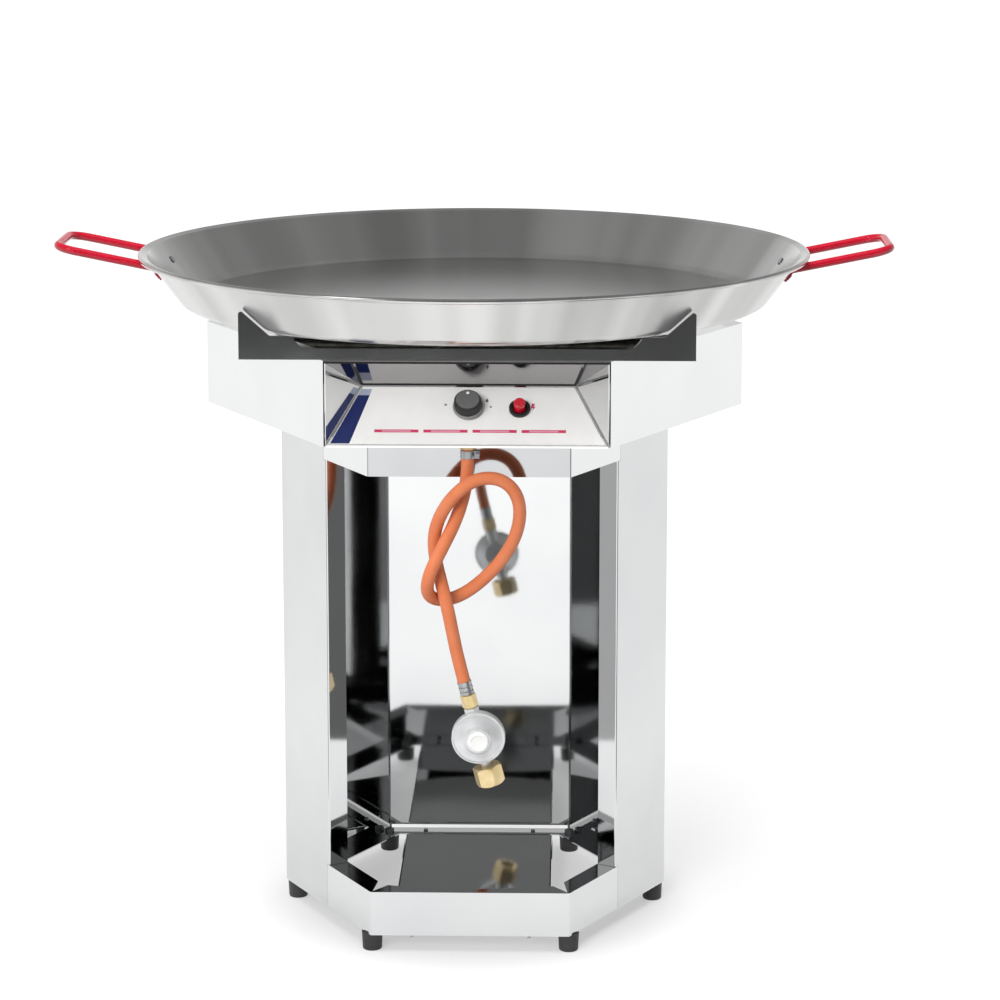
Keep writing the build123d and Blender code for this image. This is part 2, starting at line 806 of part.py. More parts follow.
with BuildPart() as tap_spindle:
    with BuildSketch(tap_plane.offset(-spindle_foot)):
        Circle(spindle_radius)
    extrude(amount=spindle_foot + spindle_top)
tap_spindle.part.label = "tap_spindle"
export_step(tap_spindle.part, "parts/tap_spindle.step")

with BuildPart() as control_knob:
    with BuildSketch(tap_section):
        with BuildLine():
            Polyline(
                (0, spindle_top), (spindle_radius, spindle_top), (spindle_radius, knob_roof),
                (knob_cavity, knob_roof), (knob_cavity, knob_gap), (knob_radius, knob_gap),
                (knob_radius, knob_gap + knob_skirt),
                (knob_radius - knob_edge / 2, knob_gap + 1.3 * knob_skirt),
                (knob_radius - knob_edge, knob_height - knob_edge),
                (knob_radius - 2 * knob_edge, knob_height), (0, knob_height), close=True,
            )
        make_face()
    revolve(axis=tap_axis)
    with BuildSketch(tap_plane.offset(knob_height)):
        with Locations((0, pointer_reach)):
            Circle(pointer_radius)
    extrude(amount=-pointer_inlay, mode=Mode.SUBTRACT)
control_knob.part.label = "control_knob"
export_step(control_knob.part, "parts/control_knob.step")

with BuildPart() as knob_pointer:
    with BuildSketch(tap_plane.offset(knob_height - pointer_inlay)):
        with Locations((0, pointer_reach)):
            Circle(pointer_radius)
    extrude(amount=pointer_inlay + pointer_proud)
knob_pointer.part.label = "knob_pointer"
export_step(knob_pointer.part, "parts/knob_pointer.step")

# Push-button igniter beside the knob
collar_radius = button_radius + button_collar
well_radius = collar_radius + button_gap
with BuildPart() as igniter_body:
    with BuildSketch(igniter_section):
        with BuildLine():
            Polyline(
                (button_radius + button_gap, igniter_rim), (igniter_radius - igniter_chamfer, igniter_rim),
                (igniter_radius, igniter_rim - igniter_chamfer), (igniter_radius, overlay_thick),
                (barrel_radius, overlay_thick), (barrel_radius, -igniter_depth), (0, -igniter_depth),
                (0, -igniter_well), (well_radius, -igniter_well), (well_radius, 0),
                (button_radius + button_gap, 0), close=True,
            )
        make_face()
    revolve(axis=igniter_axis)
igniter_body.part.label = "igniter_body"
export_step(igniter_body.part, "parts/igniter_body.step")

with BuildPart() as igniter_nut:
    with BuildSketch(igniter_plane.offset(-sheet)):
        RegularPolygon(igniter_across / 2, 6, major_radius=False)
        Circle(barrel_radius + slip, mode=Mode.SUBTRACT)
    extrude(amount=-igniter_nut_thick)
igniter_nut.part.label = "igniter_nut"
export_step(igniter_nut.part, "parts/igniter_nut.step")

with BuildPart() as igniter_button:
    with BuildSketch(igniter_section):
        with BuildLine():
            Polyline(
                (0, button_top), (button_radius - button_collar, button_top),
                (button_radius, button_top - button_collar), (button_radius, -button_collar),
                (collar_radius, -button_collar), (collar_radius, -button_foot), (0, -button_foot), close=True,
            )
        make_face()
    revolve(axis=igniter_axis)
igniter_button.part.label = "igniter_button"
export_step(igniter_button.part, "parts/igniter_button.step")

# Lead from the igniter along the tray to the spark electrode
lead_height = tray_top + lead_level
lead_top = igniter_plane.from_local_coords(Vector(0, 0, -igniter_depth))
lead_turn = igniter_plane.from_local_coords(Vector(0, 0, -igniter_depth - 2 * lead_bend))
lead_foot = Vector(probe_x, probe_y, lead_height)
lead_low = lead_turn + (lead_foot - lead_turn) * 0.25
with BuildPart() as ignition_lead:
    with BuildLine() as lead_line:
        FilletPolyline(
            lead_top, lead_turn, (lead_low.X, lead_low.Y, lead_height), lead_foot,
            (probe_x, probe_y, probe_foot), radius=[lead_bend, 5 * lead_bend, lead_bend],
        )
    with BuildSketch(Plane(origin=lead_line.line @ 0, z_dir=lead_line.line % 0)):
        Circle(lead_radius)
    sweep()
ignition_lead.part.label = "ignition_lead"
export_step(ignition_lead.part, "parts/ignition_lead.step")

with BuildPart() as spark_electrode:
    with BuildSketch(Plane.XY.offset(probe_foot)):
        with Locations((probe_x, probe_y)):
            Circle(probe_radius)
    extrude(amount=electrode_body)
    with BuildSketch(Plane.XY.offset(probe_foot + electrode_body)):
        with Locations((probe_x, probe_y)):
            Circle(electrode_wire)
    extrude(amount=electrode_tip)
spark_electrode.part.label = "spark_electrode"
export_step(spark_electrode.part, "parts/spark_electrode.step")

# Thermocouple: its thin tube runs from the tap round the injector's holder and up into the probe
capillary_height = tray_top + capillary_level
capillary_route = [
    tap_plane.from_local_coords(Vector(0, 0, -tap_depth)),
    tap_plane.from_local_coords(Vector(0, 0, -tap_depth - 2 * capillary_bend)),
    Vector(-1.4 * holder_half, injector_back - holder_half, capillary_height),
    Vector(-probe_x, probe_y, capillary_height), Vector(-probe_x, probe_y, probe_foot + sheet),
]
with BuildPart() as thermocouple:
    with BuildLine() as capillary_line:
        FilletPolyline(*capillary_route, radius=[capillary_bend, 4 * capillary_bend, capillary_bend])
    with BuildSketch(Plane(origin=capillary_line.line @ 0, z_dir=capillary_line.line % 0)):
        Circle(capillary_radius)
    sweep()
    with BuildSketch(Plane.XY.offset(probe_foot)):
        with Locations((-probe_x, probe_y)):
            Circle(probe_radius)
    extrude(amount=thermocouple_length)
thermocouple.part.label = "thermocouple"
export_step(thermocouple.part, "parts/thermocouple.step")

# Small angles that hold the electrode and the probe beside the flames
bracket_top = hub_foot + bracket_rise
bracket_back = probe_x + bracket_reach
bracket_path = [
    (probe_x - bracket_tongue, bracket_top), (bracket_back, bracket_top),
    (bracket_back, tray_top + sheet), (bracket_back + bracket_toe, tray_top + sheet),
]
bracket_side = probe_y + bracket_tongue
with BuildPart() as probe_brackets:
    with BuildSketch(Plane(origin=(0, bracket_side, 0), x_dir=(1, 0, 0), z_dir=(0, -1, 0))):
        with BuildLine():
            Polyline(*folded(bracket_path, sheet), close=True)
        make_face()
    extrude(amount=2 * bracket_tongue)
    with Locations((probe_x, probe_y, bracket_top)):
        Cylinder(probe_radius + slip, 8 * sheet, mode=Mode.SUBTRACT)
    mirror(about=Plane.YZ)
probe_brackets.part.label = "probe_brackets"
export_step(probe_brackets.part, "parts/probe_brackets.step")

# Burner: a hub on three legs, six ported arms and a mixing tube to the front
with BuildPart() as burner_hub:
    with BuildSketch(Plane.XY.offset(hub_foot)):
        Circle(hub_radius)
    extrude(amount=hub_top - hub_foot)
    with BuildSketch(Plane.XY.offset(hub_foot + hub_wall)):
        Circle(hub_radius - hub_wall)
    extrude(amount=hub_top - hub_foot - 2 * hub_wall, mode=Mode.SUBTRACT)
    for number in range(6):
        spoke = corner(1, number)
        with BuildSketch(Plane(origin=(0, 0, arm_height), x_dir=(0, 0, 1), z_dir=spoke)):
            Circle(arm_radius + slip)
        extrude(amount=hub_radius + hub_wall, mode=Mode.SUBTRACT)
    with BuildSketch(Plane(origin=(0, 0, tube_height), x_dir=(1, 0, 0), z_dir=(0, -1, 0))):
        Circle(mixer_radius + slip)
    extrude(amount=hub_radius + hub_wall, mode=Mode.SUBTRACT)
    fillet(burner_hub.edges().group_by(Axis.Z)[-1], hub_round)
burner_hub.part.label = "burner_hub"
export_step(burner_hub.part, "parts/burner_hub.step")

arm_root = hub_radius - hub_wall
port_pitch = (arm_reach - hub_radius - port_end) / port_count
with BuildPart() as burner_arms:
    for number in range(6):
        spoke = corner(1, number)
        with BuildSketch(Plane(origin=(0, 0, arm_height), x_dir=(0, 0, 1), z_dir=spoke).offset(arm_root)):
            Circle(arm_radius)
        extrude(amount=arm_reach - arm_root)
        with BuildSketch(Plane(origin=(0, 0, arm_height), x_dir=(0, 0, 1), z_dir=spoke).offset(arm_root)):
            Circle(arm_radius - arm_wall)
        extrude(amount=arm_reach - arm_root - 2 * arm_wall, mode=Mode.SUBTRACT)
        with BuildSketch(Plane(origin=(0, 0, arm_height), x_dir=spoke, z_dir=(0, 0, 1))):
            with Locations(*[(hub_radius + port_pitch * (n + 0.5), 0) for n in range(port_count)]):
                Circle(port_radius)
        extrude(amount=2 * arm_radius, mode=Mode.SUBTRACT)
burner_arms.part.label = "burner_arms"
export_step(burner_arms.part, "parts/burner_arms.step")

with BuildPart() as burner_legs:
    with BuildSketch(Plane.XY.offset(tray_top)):
        with PolarLocations(leg_circle, 3):
            Circle(leg_radius)
    extrude(amount=hub_foot - tray_top)
burner_legs.part.label = "burner_legs"
export_step(burner_legs.part, "parts/burner_legs.step")

mixer_axis = Axis((0, 0, tube_height), (0, 1, 0))
mixer_path = [
    (-arm_root, tube_height + mixer_radius), (mixer_mouth + flare_length, tube_height + mixer_radius),
    (mixer_mouth, tube_height + mixer_radius + mixer_flare),
]
with BuildPart() as mixing_tube:
    with BuildSketch(Plane.YZ):
        with BuildLine():
            Polyline(*(mixer_path + side_step(mixer_path, -mixer_wall)[::-1]), close=True)
        make_face()
    revolve(axis=mixer_axis)
mixing_tube.part.label = "mixing_tube"
export_step(mixing_tube.part, "parts/mixing_tube.step")

holder_path = [
    (injector_back, tube_height + holder_rise), (injector_back, tray_top),
    (injector_back + holder_rise, tray_top),
]
with BuildPart() as injector_holder:
    with BuildSketch(Plane.YZ):
        with BuildLine():
            Polyline(*(holder_path + side_step(holder_path, -ring_thick)[::-1]), close=True)
        make_face()
    extrude(amount=holder_half, both=True)
    with Locations(Plane(origin=(0, injector_back, tube_height), x_dir=(1, 0, 0), z_dir=(0, 1, 0))):
        Cylinder(injector_radius + slip, 8 * ring_thick, mode=Mode.SUBTRACT)
injector_holder.part.label = "injector_holder"
export_step(injector_holder.part, "parts/injector_holder.step")

injector_start = (0, injector_back - injector_head, tube_height)
injector_plane = Plane(origin=injector_start, x_dir=(1, 0, 0), z_dir=(0, 1, 0))
nose_end = injector_back + injector_nose
with BuildPart() as injector:
    with BuildSketch(injector_plane):
        RegularPolygon(injector_across / 2, 6, major_radius=False)
    extrude(amount=injector_head)
    with BuildSketch(Plane.YZ):
        with BuildLine():
            Polyline(
                (injector_back, tube_height), (injector_back, tube_height + injector_radius),
                (nose_end - injector_taper, tube_height + injector_radius),
                (nose_end, tube_height + 0.4 * injector_radius), (nose_end, tube_height), close=True,
            )
        make_face()
    revolve(axis=mixer_axis)
    with BuildSketch(injector_plane):
        Circle(pipe_radius + slip)
    extrude(amount=socket_depth, mode=Mode.SUBTRACT)
    with BuildSketch(injector_plane):
        Circle(jet_radius)
    extrude(amount=injector_head + injector_nose, mode=Mode.SUBTRACT)
injector.part.label = "injector"
export_step(injector.part, "parts/injector.step")

# Rigid pipe from the tap's outlet to the injector
pipe_start = port + panel_up * (outlet_end - socket_depth)
pipe_turn = pipe_start + panel_up * ((tube_height - pipe_start.Z) / panel_up.Z)
pipe_end = injector_back - injector_head + socket_depth
with BuildPart() as gas_pipe:
    with BuildLine() as pipe_line:
        FilletPolyline(pipe_start, pipe_turn, (0, pipe_end, tube_height), radius=pipe_bend)
    with BuildSketch(Plane(origin=pipe_start, z_dir=panel_up)):
        Circle(pipe_radius)
        Circle(pipe_radius - pipe_wall, mode=Mode.SUBTRACT)
    sweep()
gas_pipe.part.label = "gas_pipe"
export_step(gas_pipe.part, "parts/gas_pipe.step")

# Plates that stand on the box and carry the pan on their shelves, between their ears
pan_lean = (pan_wall_radius - pan_foot_radius) / (pan_wall_top - pan_foot)
plate_face = plate_back + plate_thick


def pan_edge(height):
    # where the pan's outside passes the plate's outer face at a height, with the ear's gap
    reach_out = pan_foot_radius + pan_lean * (height - pan_foot) + ear_gap * sqrt(1 + pan_lean ** 2)
    return sqrt(reach_out ** 2 - plate_back ** 2)


ear_foot = pan_edge(shelf_top)
plate_half = pan_edge(ear_top) + ear_width
land_end = ear_foot - land_width
flange_half = plate_half - flange_end
plate_outline = [
    (0, house_top), (plate_half, house_top), (plate_half, ear_top), (pan_edge(ear_top), ear_top),
    (ear_foot, shelf_top), (land_end, shelf_top), (land_end - land_slope, bar_top), (0, bar_top),
]
plate_plane = Plane(origin=(0, -plate_back, 0), x_dir=(1, 0, 0), z_dir=(0, -1, 0))
with BuildPart() as pan_support_front:
    with BuildSketch(plate_plane) as plate_sketch:
        with BuildLine():
            Polyline(*plate_outline, close=True)
        make_face()
        fillet(standing(plate_sketch.vertices(), plate_outline[2:3]), ear_round)
        fillet(standing(plate_sketch.vertices(), plate_outline[5:7]), land_round)
        mirror(about=Plane.YZ)
    extrude(amount=plate_thick)
    with BuildSketch(Plane.XY.offset(house_top)):
        with BuildLine():
            Polyline(
                (-flange_half, -plate_back), (flange_half, -plate_back),
                (flange_half, plate_flange - plate_back), (-flange_half, plate_flange - plate_back),
                close=True,
            )
        make_face()
        with Locations((-screw_x, -screw_y), (screw_x, -screw_y)):
            Circle(screw_radius + slip, mode=Mode.SUBTRACT)
    extrude(amount=plate_thick)
pan_support_front.part.label = "pan_support_front"
export_step(pan_support_front.part, "parts/pan_support_front.step")

with BuildPart() as pan_support_rear:
    mirror(pan_support_front.part, about=Plane.XZ)
pan_support_rear.part.label = "pan_support_rear"
export_step(pan_support_rear.part, "parts/pan_support_rear.step")

screw_seat = house_top + plate_thick
with BuildPart() as support_screws:
    with BuildSketch(Plane.XY.offset(screw_seat)):
        with GridLocations(2 * screw_x, 2 * screw_y, 2, 2):
            Circle(screw_head)
    extrude(amount=screw_dome)
    fillet(support_screws.edges().group_by(Axis.Z)[-1], screw_dome / 2)
    with BuildSketch(Plane.XY.offset(screw_seat)):
        with GridLocations(2 * screw_x, 2 * screw_y, 2, 2):
            Circle(screw_radius)
    extrude(amount=-screw_length)
support_screws.part.label = "support_screws"
export_step(support_screws.part, "parts/support_screws.step")

with BuildPart() as support_nuts:
    with BuildSketch(Plane.XY.offset(house_top - sheet)):
        with GridLocations(2 * screw_x, 2 * screw_y, 2, 2):
            RegularPolygon(screw_nut / 2, 6, major_radius=False)
            Circle(screw_radius + slip, mode=Mode.SUBTRACT)
    extrude(amount=-screw_nut_thick)
support_nuts.part.label = "support_nuts"
export_step(support_nuts.part, "parts/support_nuts.step")

# Pan: pressed sheet with a leaning wall, a small brim and a rolled edge
wall_slope = Vector(pan_lean, 0, 1).normalized()
pan_path = [
    (bead_circle, bead_height + bead_tuck), (pan_wall_radius, pan_wall_top),
    (pan_foot_radius, pan_foot), (0, pan_foot),
]
lug_angle = degrees(asin(lug_reach / (pan_foot_radius + pan_lean * (lug_height - pan_foot))))


def lug_plane(angle, along, out):
    # plane on the pan's outside at a handle's lug, its x across the lug and its y up the wall
    spoke = Vector(1, 0, 0).rotate(Axis.Z, angle)
    across = Vector(0, 1, 0).rotate(Axis.Z, angle)
    face = (spoke - Vector(0, 0, pan_lean)).normalized()
    rise = (spoke * pan_lean + Vector(0, 0, 1)).normalized()
    spot = spoke * (pan_foot_radius + pan_lean * (lug_height - pan_foot)) + Vector(0, 0, lug_height)
    return Plane(origin=spot + rise * along + face * out, x_dir=across, z_dir=face)


with BuildPart() as pan:
    with BuildSketch(Plane.XZ) as pan_section:
        with BuildLine():
            Polyline(*folded(pan_path, pan_sheet), close=True)
        make_face()
        fillet(standing(pan_section.vertices(), pan_path[2:3]), pan_knuckle)
        inner_knuckle = side_step(pan_path, pan_sheet)[2:3]
        fillet(standing(pan_section.vertices(), inner_knuckle), pan_knuckle - pan_sheet)
        with Locations((bead_circle, bead_height)):
            Circle(bead_radius)
    revolve(axis=Axis.Z)
    for angle in (lug_angle, -lug_angle, 180 - lug_angle, 180 + lug_angle):
        with Locations(lug_plane(angle, -rivet_drop, 0)):
            Cylinder(rivet_radius + slip, 8 * pan_sheet, mode=Mode.SUBTRACT)
pan.part.label = "pan"
export_step(pan.part, "parts/pan.step")

# Handle: a bent rod that ends at the wall, with a flat lug riveted below each end
handle_points = []
for side in (-1, 1):
    lug = lug_plane(side * lug_angle, 0, -rod_radius)
    root = lug.origin + lug.y_dir * ((lug_height + root_rise - lug.origin.Z) / lug.y_dir.Z)
    tip = Vector(tip_x, side * lug_reach, tip_height)
    handle_points += [root, tip] if side < 0 else [tip, root]
with BuildPart() as pan_handle_right:
    with BuildLine() as handle_line:
        FilletPolyline(*handle_points, radius=tip_bend)
    with BuildSketch(Plane(origin=handle_line.line @ 0, z_dir=handle_line.line % 0)):
        Circle(rod_radius)
    sweep()
    for angle in (-lug_angle, lug_angle):
        with BuildSketch(lug_plane(angle, 0, slip)):
            RectangleRounded(lug_width, lug_length, lug_round)
            with Locations((0, -rivet_drop)):
                Circle(rivet_radius + slip, mode=Mode.SUBTRACT)
        extrude(amount=lug_thick)
        with BuildSketch(lug_plane(angle, 0, slip)):
            Rectangle(2 * lug_length, 2 * lug_length)
        extrude(amount=-lug_length, mode=Mode.SUBTRACT)
pan_handle_right.part.label = "pan_handle_right"
export_step(pan_handle_right.part, "parts/pan_handle_right.step")

with BuildPart() as pan_handle_left:
    mirror(pan_handle_right.part, about=Plane.YZ)
pan_handle_left.part.label = "pan_handle_left"
export_step(pan_handle_left.part, "parts/pan_handle_left.step")

with BuildPart() as handle_rivets:
    for angle in (-lug_angle, lug_angle):
        with BuildSketch(lug_plane(angle, -rivet_drop, slip + lug_thick)):
            Circle(2 * rivet_radius)
        extrude(amount=rivet_head)
        with BuildSketch(lug_plane(angle, -rivet_drop, slip + lug_thick)):
            Circle(rivet_radius)
        extrude(amount=-lug_thick - slip - pan_sheet - rivet_head)
        with BuildSketch(lug_plane(angle, -rivet_drop, -pan_sheet - slip)):
            Circle(2.4 * rivet_radius)
        extrude(amount=-rivet_head)
    mirror(about=Plane.YZ)
handle_rivets.part.label = "handle_rivets"
export_step(handle_rivets.part, "parts/handle_rivets.step")

# Hose tail: an elbow from the tap's inlet to a barb that points straight down
tail_start = port - panel_up * inlet_end
tail_turn = tail_start - panel_up * ((tail_start.Y - hose_top.Y) / panel_up.Y)
with BuildPart() as hose_tail:
    with BuildLine() as tail_line:
        FilletPolyline(tail_start, tail_turn, hose_top + Vector(0, 0, tail_hex / 2), radius=tail_bend)
    with BuildSketch(Plane(origin=tail_start, x_dir=(1, 0, 0), z_dir=-panel_up)):
        Circle(tail_radius)
    sweep()
    with BuildSketch(Plane(origin=hose_top)):
        RegularPolygon(tail_across / 2, 6, major_radius=False)
    extrude(amount=tail_hex)
    with BuildSketch(Plane(origin=hose_top)):
        Circle(hose_bore - slip)
    extrude(amount=tail_foot - hose_top.Z)
hose_tail.part.label = "hose_tail"
export_step(hose_tail.part, "parts/hose_tail.step")

# Hose, tied in a loose overhand knot under the burner box
hose_radii = arc_radii(route)
with BuildPart() as gas_hose:
    with BuildLine() as hose_line:
        FilletPolyline(*route, radius=hose_radii)
    with BuildSketch(Plane(origin=route[0], z_dir=(0, 0, -1))):
        Circle(hose_radius)
        Circle(hose_bore, mode=Mode.SUBTRACT)
    sweep()
gas_hose.part.label = "gas_hose"
export_step(gas_hose.part, "parts/gas_hose.step")
hose_length = hose_line.wire().length
hose_section = pi * (hose_radius ** 2 - hose_bore ** 2)
print("hose length", round(hose_length, 1), "radii", [round(r, 1) for r in hose_radii])
print("hose volume", round(gas_hose.part.volume), "section times length", round(hose_section * hose_length))

# Band clamp with its worm screw, round the hose where the barb is inside
clamp_foot = hose_top.Z - clamp_drop
clamp_rim = hose_radius + clamp_band
worm_start = Vector(clamp_rim + worm_radius, hose_top.Y + clamp_width / 2, clamp_foot + clamp_width / 2)
with BuildPart() as hose_clamp:
    with BuildSketch(Plane(origin=(hose_top.X, hose_top.Y, clamp_foot))):
        Circle(clamp_rim)
        with Locations((clamp_rim + worm_radius - clamp_band, 0)):
            Rectangle(2 * worm_radius + clamp_band, clamp_width)
        Circle(hose_radius + slip, mode=Mode.SUBTRACT)
    extrude(amount=clamp_width)
    with BuildSketch(Plane(origin=worm_start, x_dir=(1, 0, 0), z_dir=(0, -1, 0))):
        Circle(worm_radius)
    extrude(amount=worm_length)
hose_clamp.part.label = "hose_clamp"
export_step(hose_clamp.part, "parts/hose_clamp.step")

# Regulator at the hose's free end, its dish turned to the front
hose_end = route[-1]
drop = (hose_end - route[-2]).normalized()
facing = (Vector(0, -1, 0) - drop * Vector(0, -1, 0).dot(drop)).normalized()
line_section = Plane(origin=hose_end, x_dir=facing, z_dir=facing.cross(drop))
line_plane = Plane(origin=hose_end, x_dir=facing, z_dir=drop)
line_axis = Axis(hose_end, drop)
dish_spot = hose_end + drop * dish_centre
dish_section = Plane(origin=dish_spot, x_dir=drop, z_dir=drop.cross(facing))
dish_axis = Axis(dish_spot, facing)

crimp_radius = ferrule_radius - ferrule_crimp
with BuildPart() as hose_ferrule:
    with BuildSketch(line_section):
        with BuildLine():
            Polyline(
                (0, 0), (ferrule_radius, 0), (ferrule_radius, 0.24 * ferrule_length),
                (crimp_radius, 0.28 * ferrule_length), (crimp_radius, 0.36 * ferrule_length),
                (ferrule_radius, 0.4 * ferrule_length), (ferrule_radius, 0.6 * ferrule_length),
                (crimp_radius, 0.64 * ferrule_length), (crimp_radius, 0.72 * ferrule_length),
                (ferrule_radius, 0.76 * ferrule_length), (ferrule_radius, 0.94 * ferrule_length),
                (crimp_radius, ferrule_length), (0, ferrule_length), close=True,
            )
        make_face()
    revolve(axis=line_axis)
hose_ferrule.part.label = "hose_ferrule"
export_step(hose_ferrule.part, "parts/hose_ferrule.step")

with BuildPart() as hose_union:
    with BuildSketch(line_plane.offset(ferrule_length)):
        RegularPolygon(union_across / 2, 6, major_radius=False)
    extrude(amount=union_hex)
    with BuildSketch(line_plane.offset(ferrule_length + union_hex)):
        Circle(union_radius)
    extrude(amount=union_neck)
hose_union.part.label = "hose_union"
export_step(hose_union.part, "parts/hose_union.step")

with BuildPart() as regulator_body:
    with BuildSketch(dish_section):
        with BuildLine():
            Polyline(
                (0, -dish_back), (dish_hub, -dish_back), (0.9 * dish_radius, dish_rim - 1.2 * dish_lip),
                (dish_radius, dish_rim - dish_lip), (dish_radius, dish_rim), (0, dish_rim), close=True,
            )
        make_face()
    revolve(axis=dish_axis)
    with BuildSketch(line_plane.offset(union_end)):
        Circle(channel_radius)
    extrude(amount=channel_length)
    with BuildSketch(dish_section):
        with BuildLine():
            Polyline(
                (-2 * dish_radius, dish_rim), (2 * dish_radius, dish_rim),
                (2 * dish_radius, dish_radius), (-2 * dish_radius, dish_radius), close=True,
            )
        make_face()
    extrude(amount=dish_radius, both=True, mode=Mode.SUBTRACT)
regulator_body.part.label = "regulator_body"
export_step(regulator_body.part, "parts/regulator_body.step")

with BuildPart() as regulator_cover:
    with BuildSketch(dish_section):
        with BuildLine():
            Polyline(
                (0, dish_rim), (dish_radius, dish_rim), (dish_radius, dish_rim + cover_band),
                (0.935 * dish_radius, dish_rim + 1.45 * cover_band),
                (cap_radius + 2 * cap_edge, cap_seat - cap_edge), (cap_radius + cap_edge, cap_seat),
                (0, cap_seat), close=True,
            )
        make_face()
    revolve(axis=dish_axis)
regulator_cover.part.label = "regulator_cover"
export_step(regulator_cover.part, "parts/regulator_cover.step")

with BuildPart() as regulator_cap:
    with BuildSketch(dish_section):
        with BuildLine():
            Polyline(
                (0, cap_seat), (cap_radius, cap_seat), (cap_radius, cap_seat + cap_thick - cap_edge),
                (cap_radius - cap_edge, cap_seat + cap_thick), (0, cap_seat + cap_thick), close=True,
            )
        make_face()
    revolve(axis=dish_axis)
regulator_cap.part.label = "regulator_cap"
export_step(regulator_cap.part, "parts/regulator_cap.step")

# Inlet: a collared stem, a washer against the collar, and the nut that turns freely behind it
with BuildPart() as regulator_stem:
    with BuildSketch(line_section):
        with BuildLine():
            Polyline(
                (0, channel_end), (stem_radius, channel_end), (stem_radius, collar_start),
                (nut_bore - collar_gap, collar_start), (nut_bore - collar_gap, collar_end),
                (0, collar_end), close=True,
            )
        make_face()
    revolve(axis=line_axis)
regulator_stem.part.label = "regulator_stem"
export_step(regulator_stem.part, "parts/regulator_stem.step")

with BuildPart() as inlet_seal:
    with BuildSketch(line_plane.offset(collar_end)):
        Circle(nut_bore - seal_gap)
        Circle(seal_bore, mode=Mode.SUBTRACT)
    extrude(amount=seal_thick)
inlet_seal.part.label = "inlet_seal"
export_step(inlet_seal.part, "parts/inlet_seal.step")

relief_radius = nut_bore + nut_relief
with BuildPart() as inlet_nut:
    with BuildSketch(line_plane.offset(nut_start)):
        RegularPolygon(nut_across / 2, 6, major_radius=False, rotation=nut_turn)
    extrude(amount=nut_length)
    with BuildSketch(line_section):
        with BuildLine():
            Polyline(
                (stem_radius + spin_gap, nut_start), (nut_across / 2, nut_start),
                (0.58 * nut_across, nut_start + nut_chamfer), (0.58 * nut_across, nut_end - nut_chamfer),
                (nut_across / 2, nut_end), (nut_bore, nut_end), (nut_bore, seal_end + spin_gap),
                (relief_radius, seal_end + spin_gap), (relief_radius, collar_start - spin_gap),
                (stem_radius + spin_gap, collar_start - spin_gap), close=True,
            )
        make_face()
    revolve(axis=line_axis, mode=Mode.INTERSECT)
inlet_nut.part.label = "inlet_nut"
export_step(inlet_nut.part, "parts/inlet_nut.step")
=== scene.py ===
import bpy
import bmesh
import math
from mathutils import Matrix, Vector


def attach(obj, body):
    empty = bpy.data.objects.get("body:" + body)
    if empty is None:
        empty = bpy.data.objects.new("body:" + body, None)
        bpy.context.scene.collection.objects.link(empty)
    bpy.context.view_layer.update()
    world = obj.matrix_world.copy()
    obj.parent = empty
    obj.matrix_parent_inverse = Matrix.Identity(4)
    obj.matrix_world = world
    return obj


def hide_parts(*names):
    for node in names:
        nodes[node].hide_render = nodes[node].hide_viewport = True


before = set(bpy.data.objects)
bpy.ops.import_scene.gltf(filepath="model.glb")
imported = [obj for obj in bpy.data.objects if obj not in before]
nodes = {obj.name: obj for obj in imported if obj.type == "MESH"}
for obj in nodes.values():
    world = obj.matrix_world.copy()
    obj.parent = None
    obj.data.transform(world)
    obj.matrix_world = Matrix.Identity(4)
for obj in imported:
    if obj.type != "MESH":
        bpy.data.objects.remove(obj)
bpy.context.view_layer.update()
scene = bpy.context.scene
scene.view_settings.view_transform = "Standard"
mm = 0.001


def tint(code):
    # linear colour from an sRGB hex code
    parts = [int(code[i:i + 2], 16) / 255 for i in (1, 3, 5)]
    return tuple(c / 12.92 if c <= 0.04045 else ((c + 0.055) / 1.055) ** 2.4 for c in parts) + (1.0,)


def addNode(tree, kind, inputs=None, **settings):
    node = tree.nodes.new(kind)
    for name, value in settings.items():
        setattr(node, name, value)
    for name, value in (inputs or {}).items():
        if isinstance(value, bpy.types.NodeSocket):
            tree.links.new(value, node.inputs[name])
        else:
            node.inputs[name].default_value = value
    return node


# Camera, at the photograph's viewpoint
view = {"place": (0.1175, -3.8872, 1.35), "yaw": 0.0222, "down": 0.1765, "lens": 117.0, "shift": -0.12}
cameraData = bpy.data.cameras.new("studioCamera")
cameraData.sensor_width = 36.0
cameraData.lens = view["lens"]
cameraData.shift_y = view["shift"]
camera = bpy.data.objects.new("studioCamera", cameraData)
camera.location = view["place"]
camera.rotation_euler = (math.pi / 2 - view["down"], 0.0, view["yaw"])
scene.collection.objects.link(camera)
scene.camera = camera
print("camera placed")


# Finishes: sizes of grain, lines and ripples are in millimetres, roughness runs from the brightest patch to the dullest
noiseSpan = (0.3, 0.7)  # nearly all of a noise falls in here
sheet = {"haze": 110.0, "wave": 170.0, "lineLength": 40.0, "linePitch": 0.7, "lineDepth": 0.02}
pan = {
    "ring": 2.5, "ringDepth": 0.02, "haze": 130.0, "rim": 396.0, "streak": 90.0, "wall": (338.0, 350.0),
    "seed": 51.0, "turn": 192.0, "streakSpan": (0.35, 0.65), "floorSpan": (0.56, 0.68),
}
metalDrift = 12.0  # size of the slow change in a metal's tone
skinDrift = 20.0  # and in that of plastic, rubber or print


def newFinish(name):
    finish = bpy.data.materials.new(name)
    finish.use_nodes = True
    tree = finish.node_tree
    tree.nodes.clear()
    shader = addNode(tree, "ShaderNodeBsdfPrincipled")
    output = addNode(tree, "ShaderNodeOutputMaterial")
    tree.links.new(shader.outputs["BSDF"], output.inputs["Surface"])
    place = addNode(tree, "ShaderNodeTexCoord").outputs["Object"]
    return finish, tree, shader, place


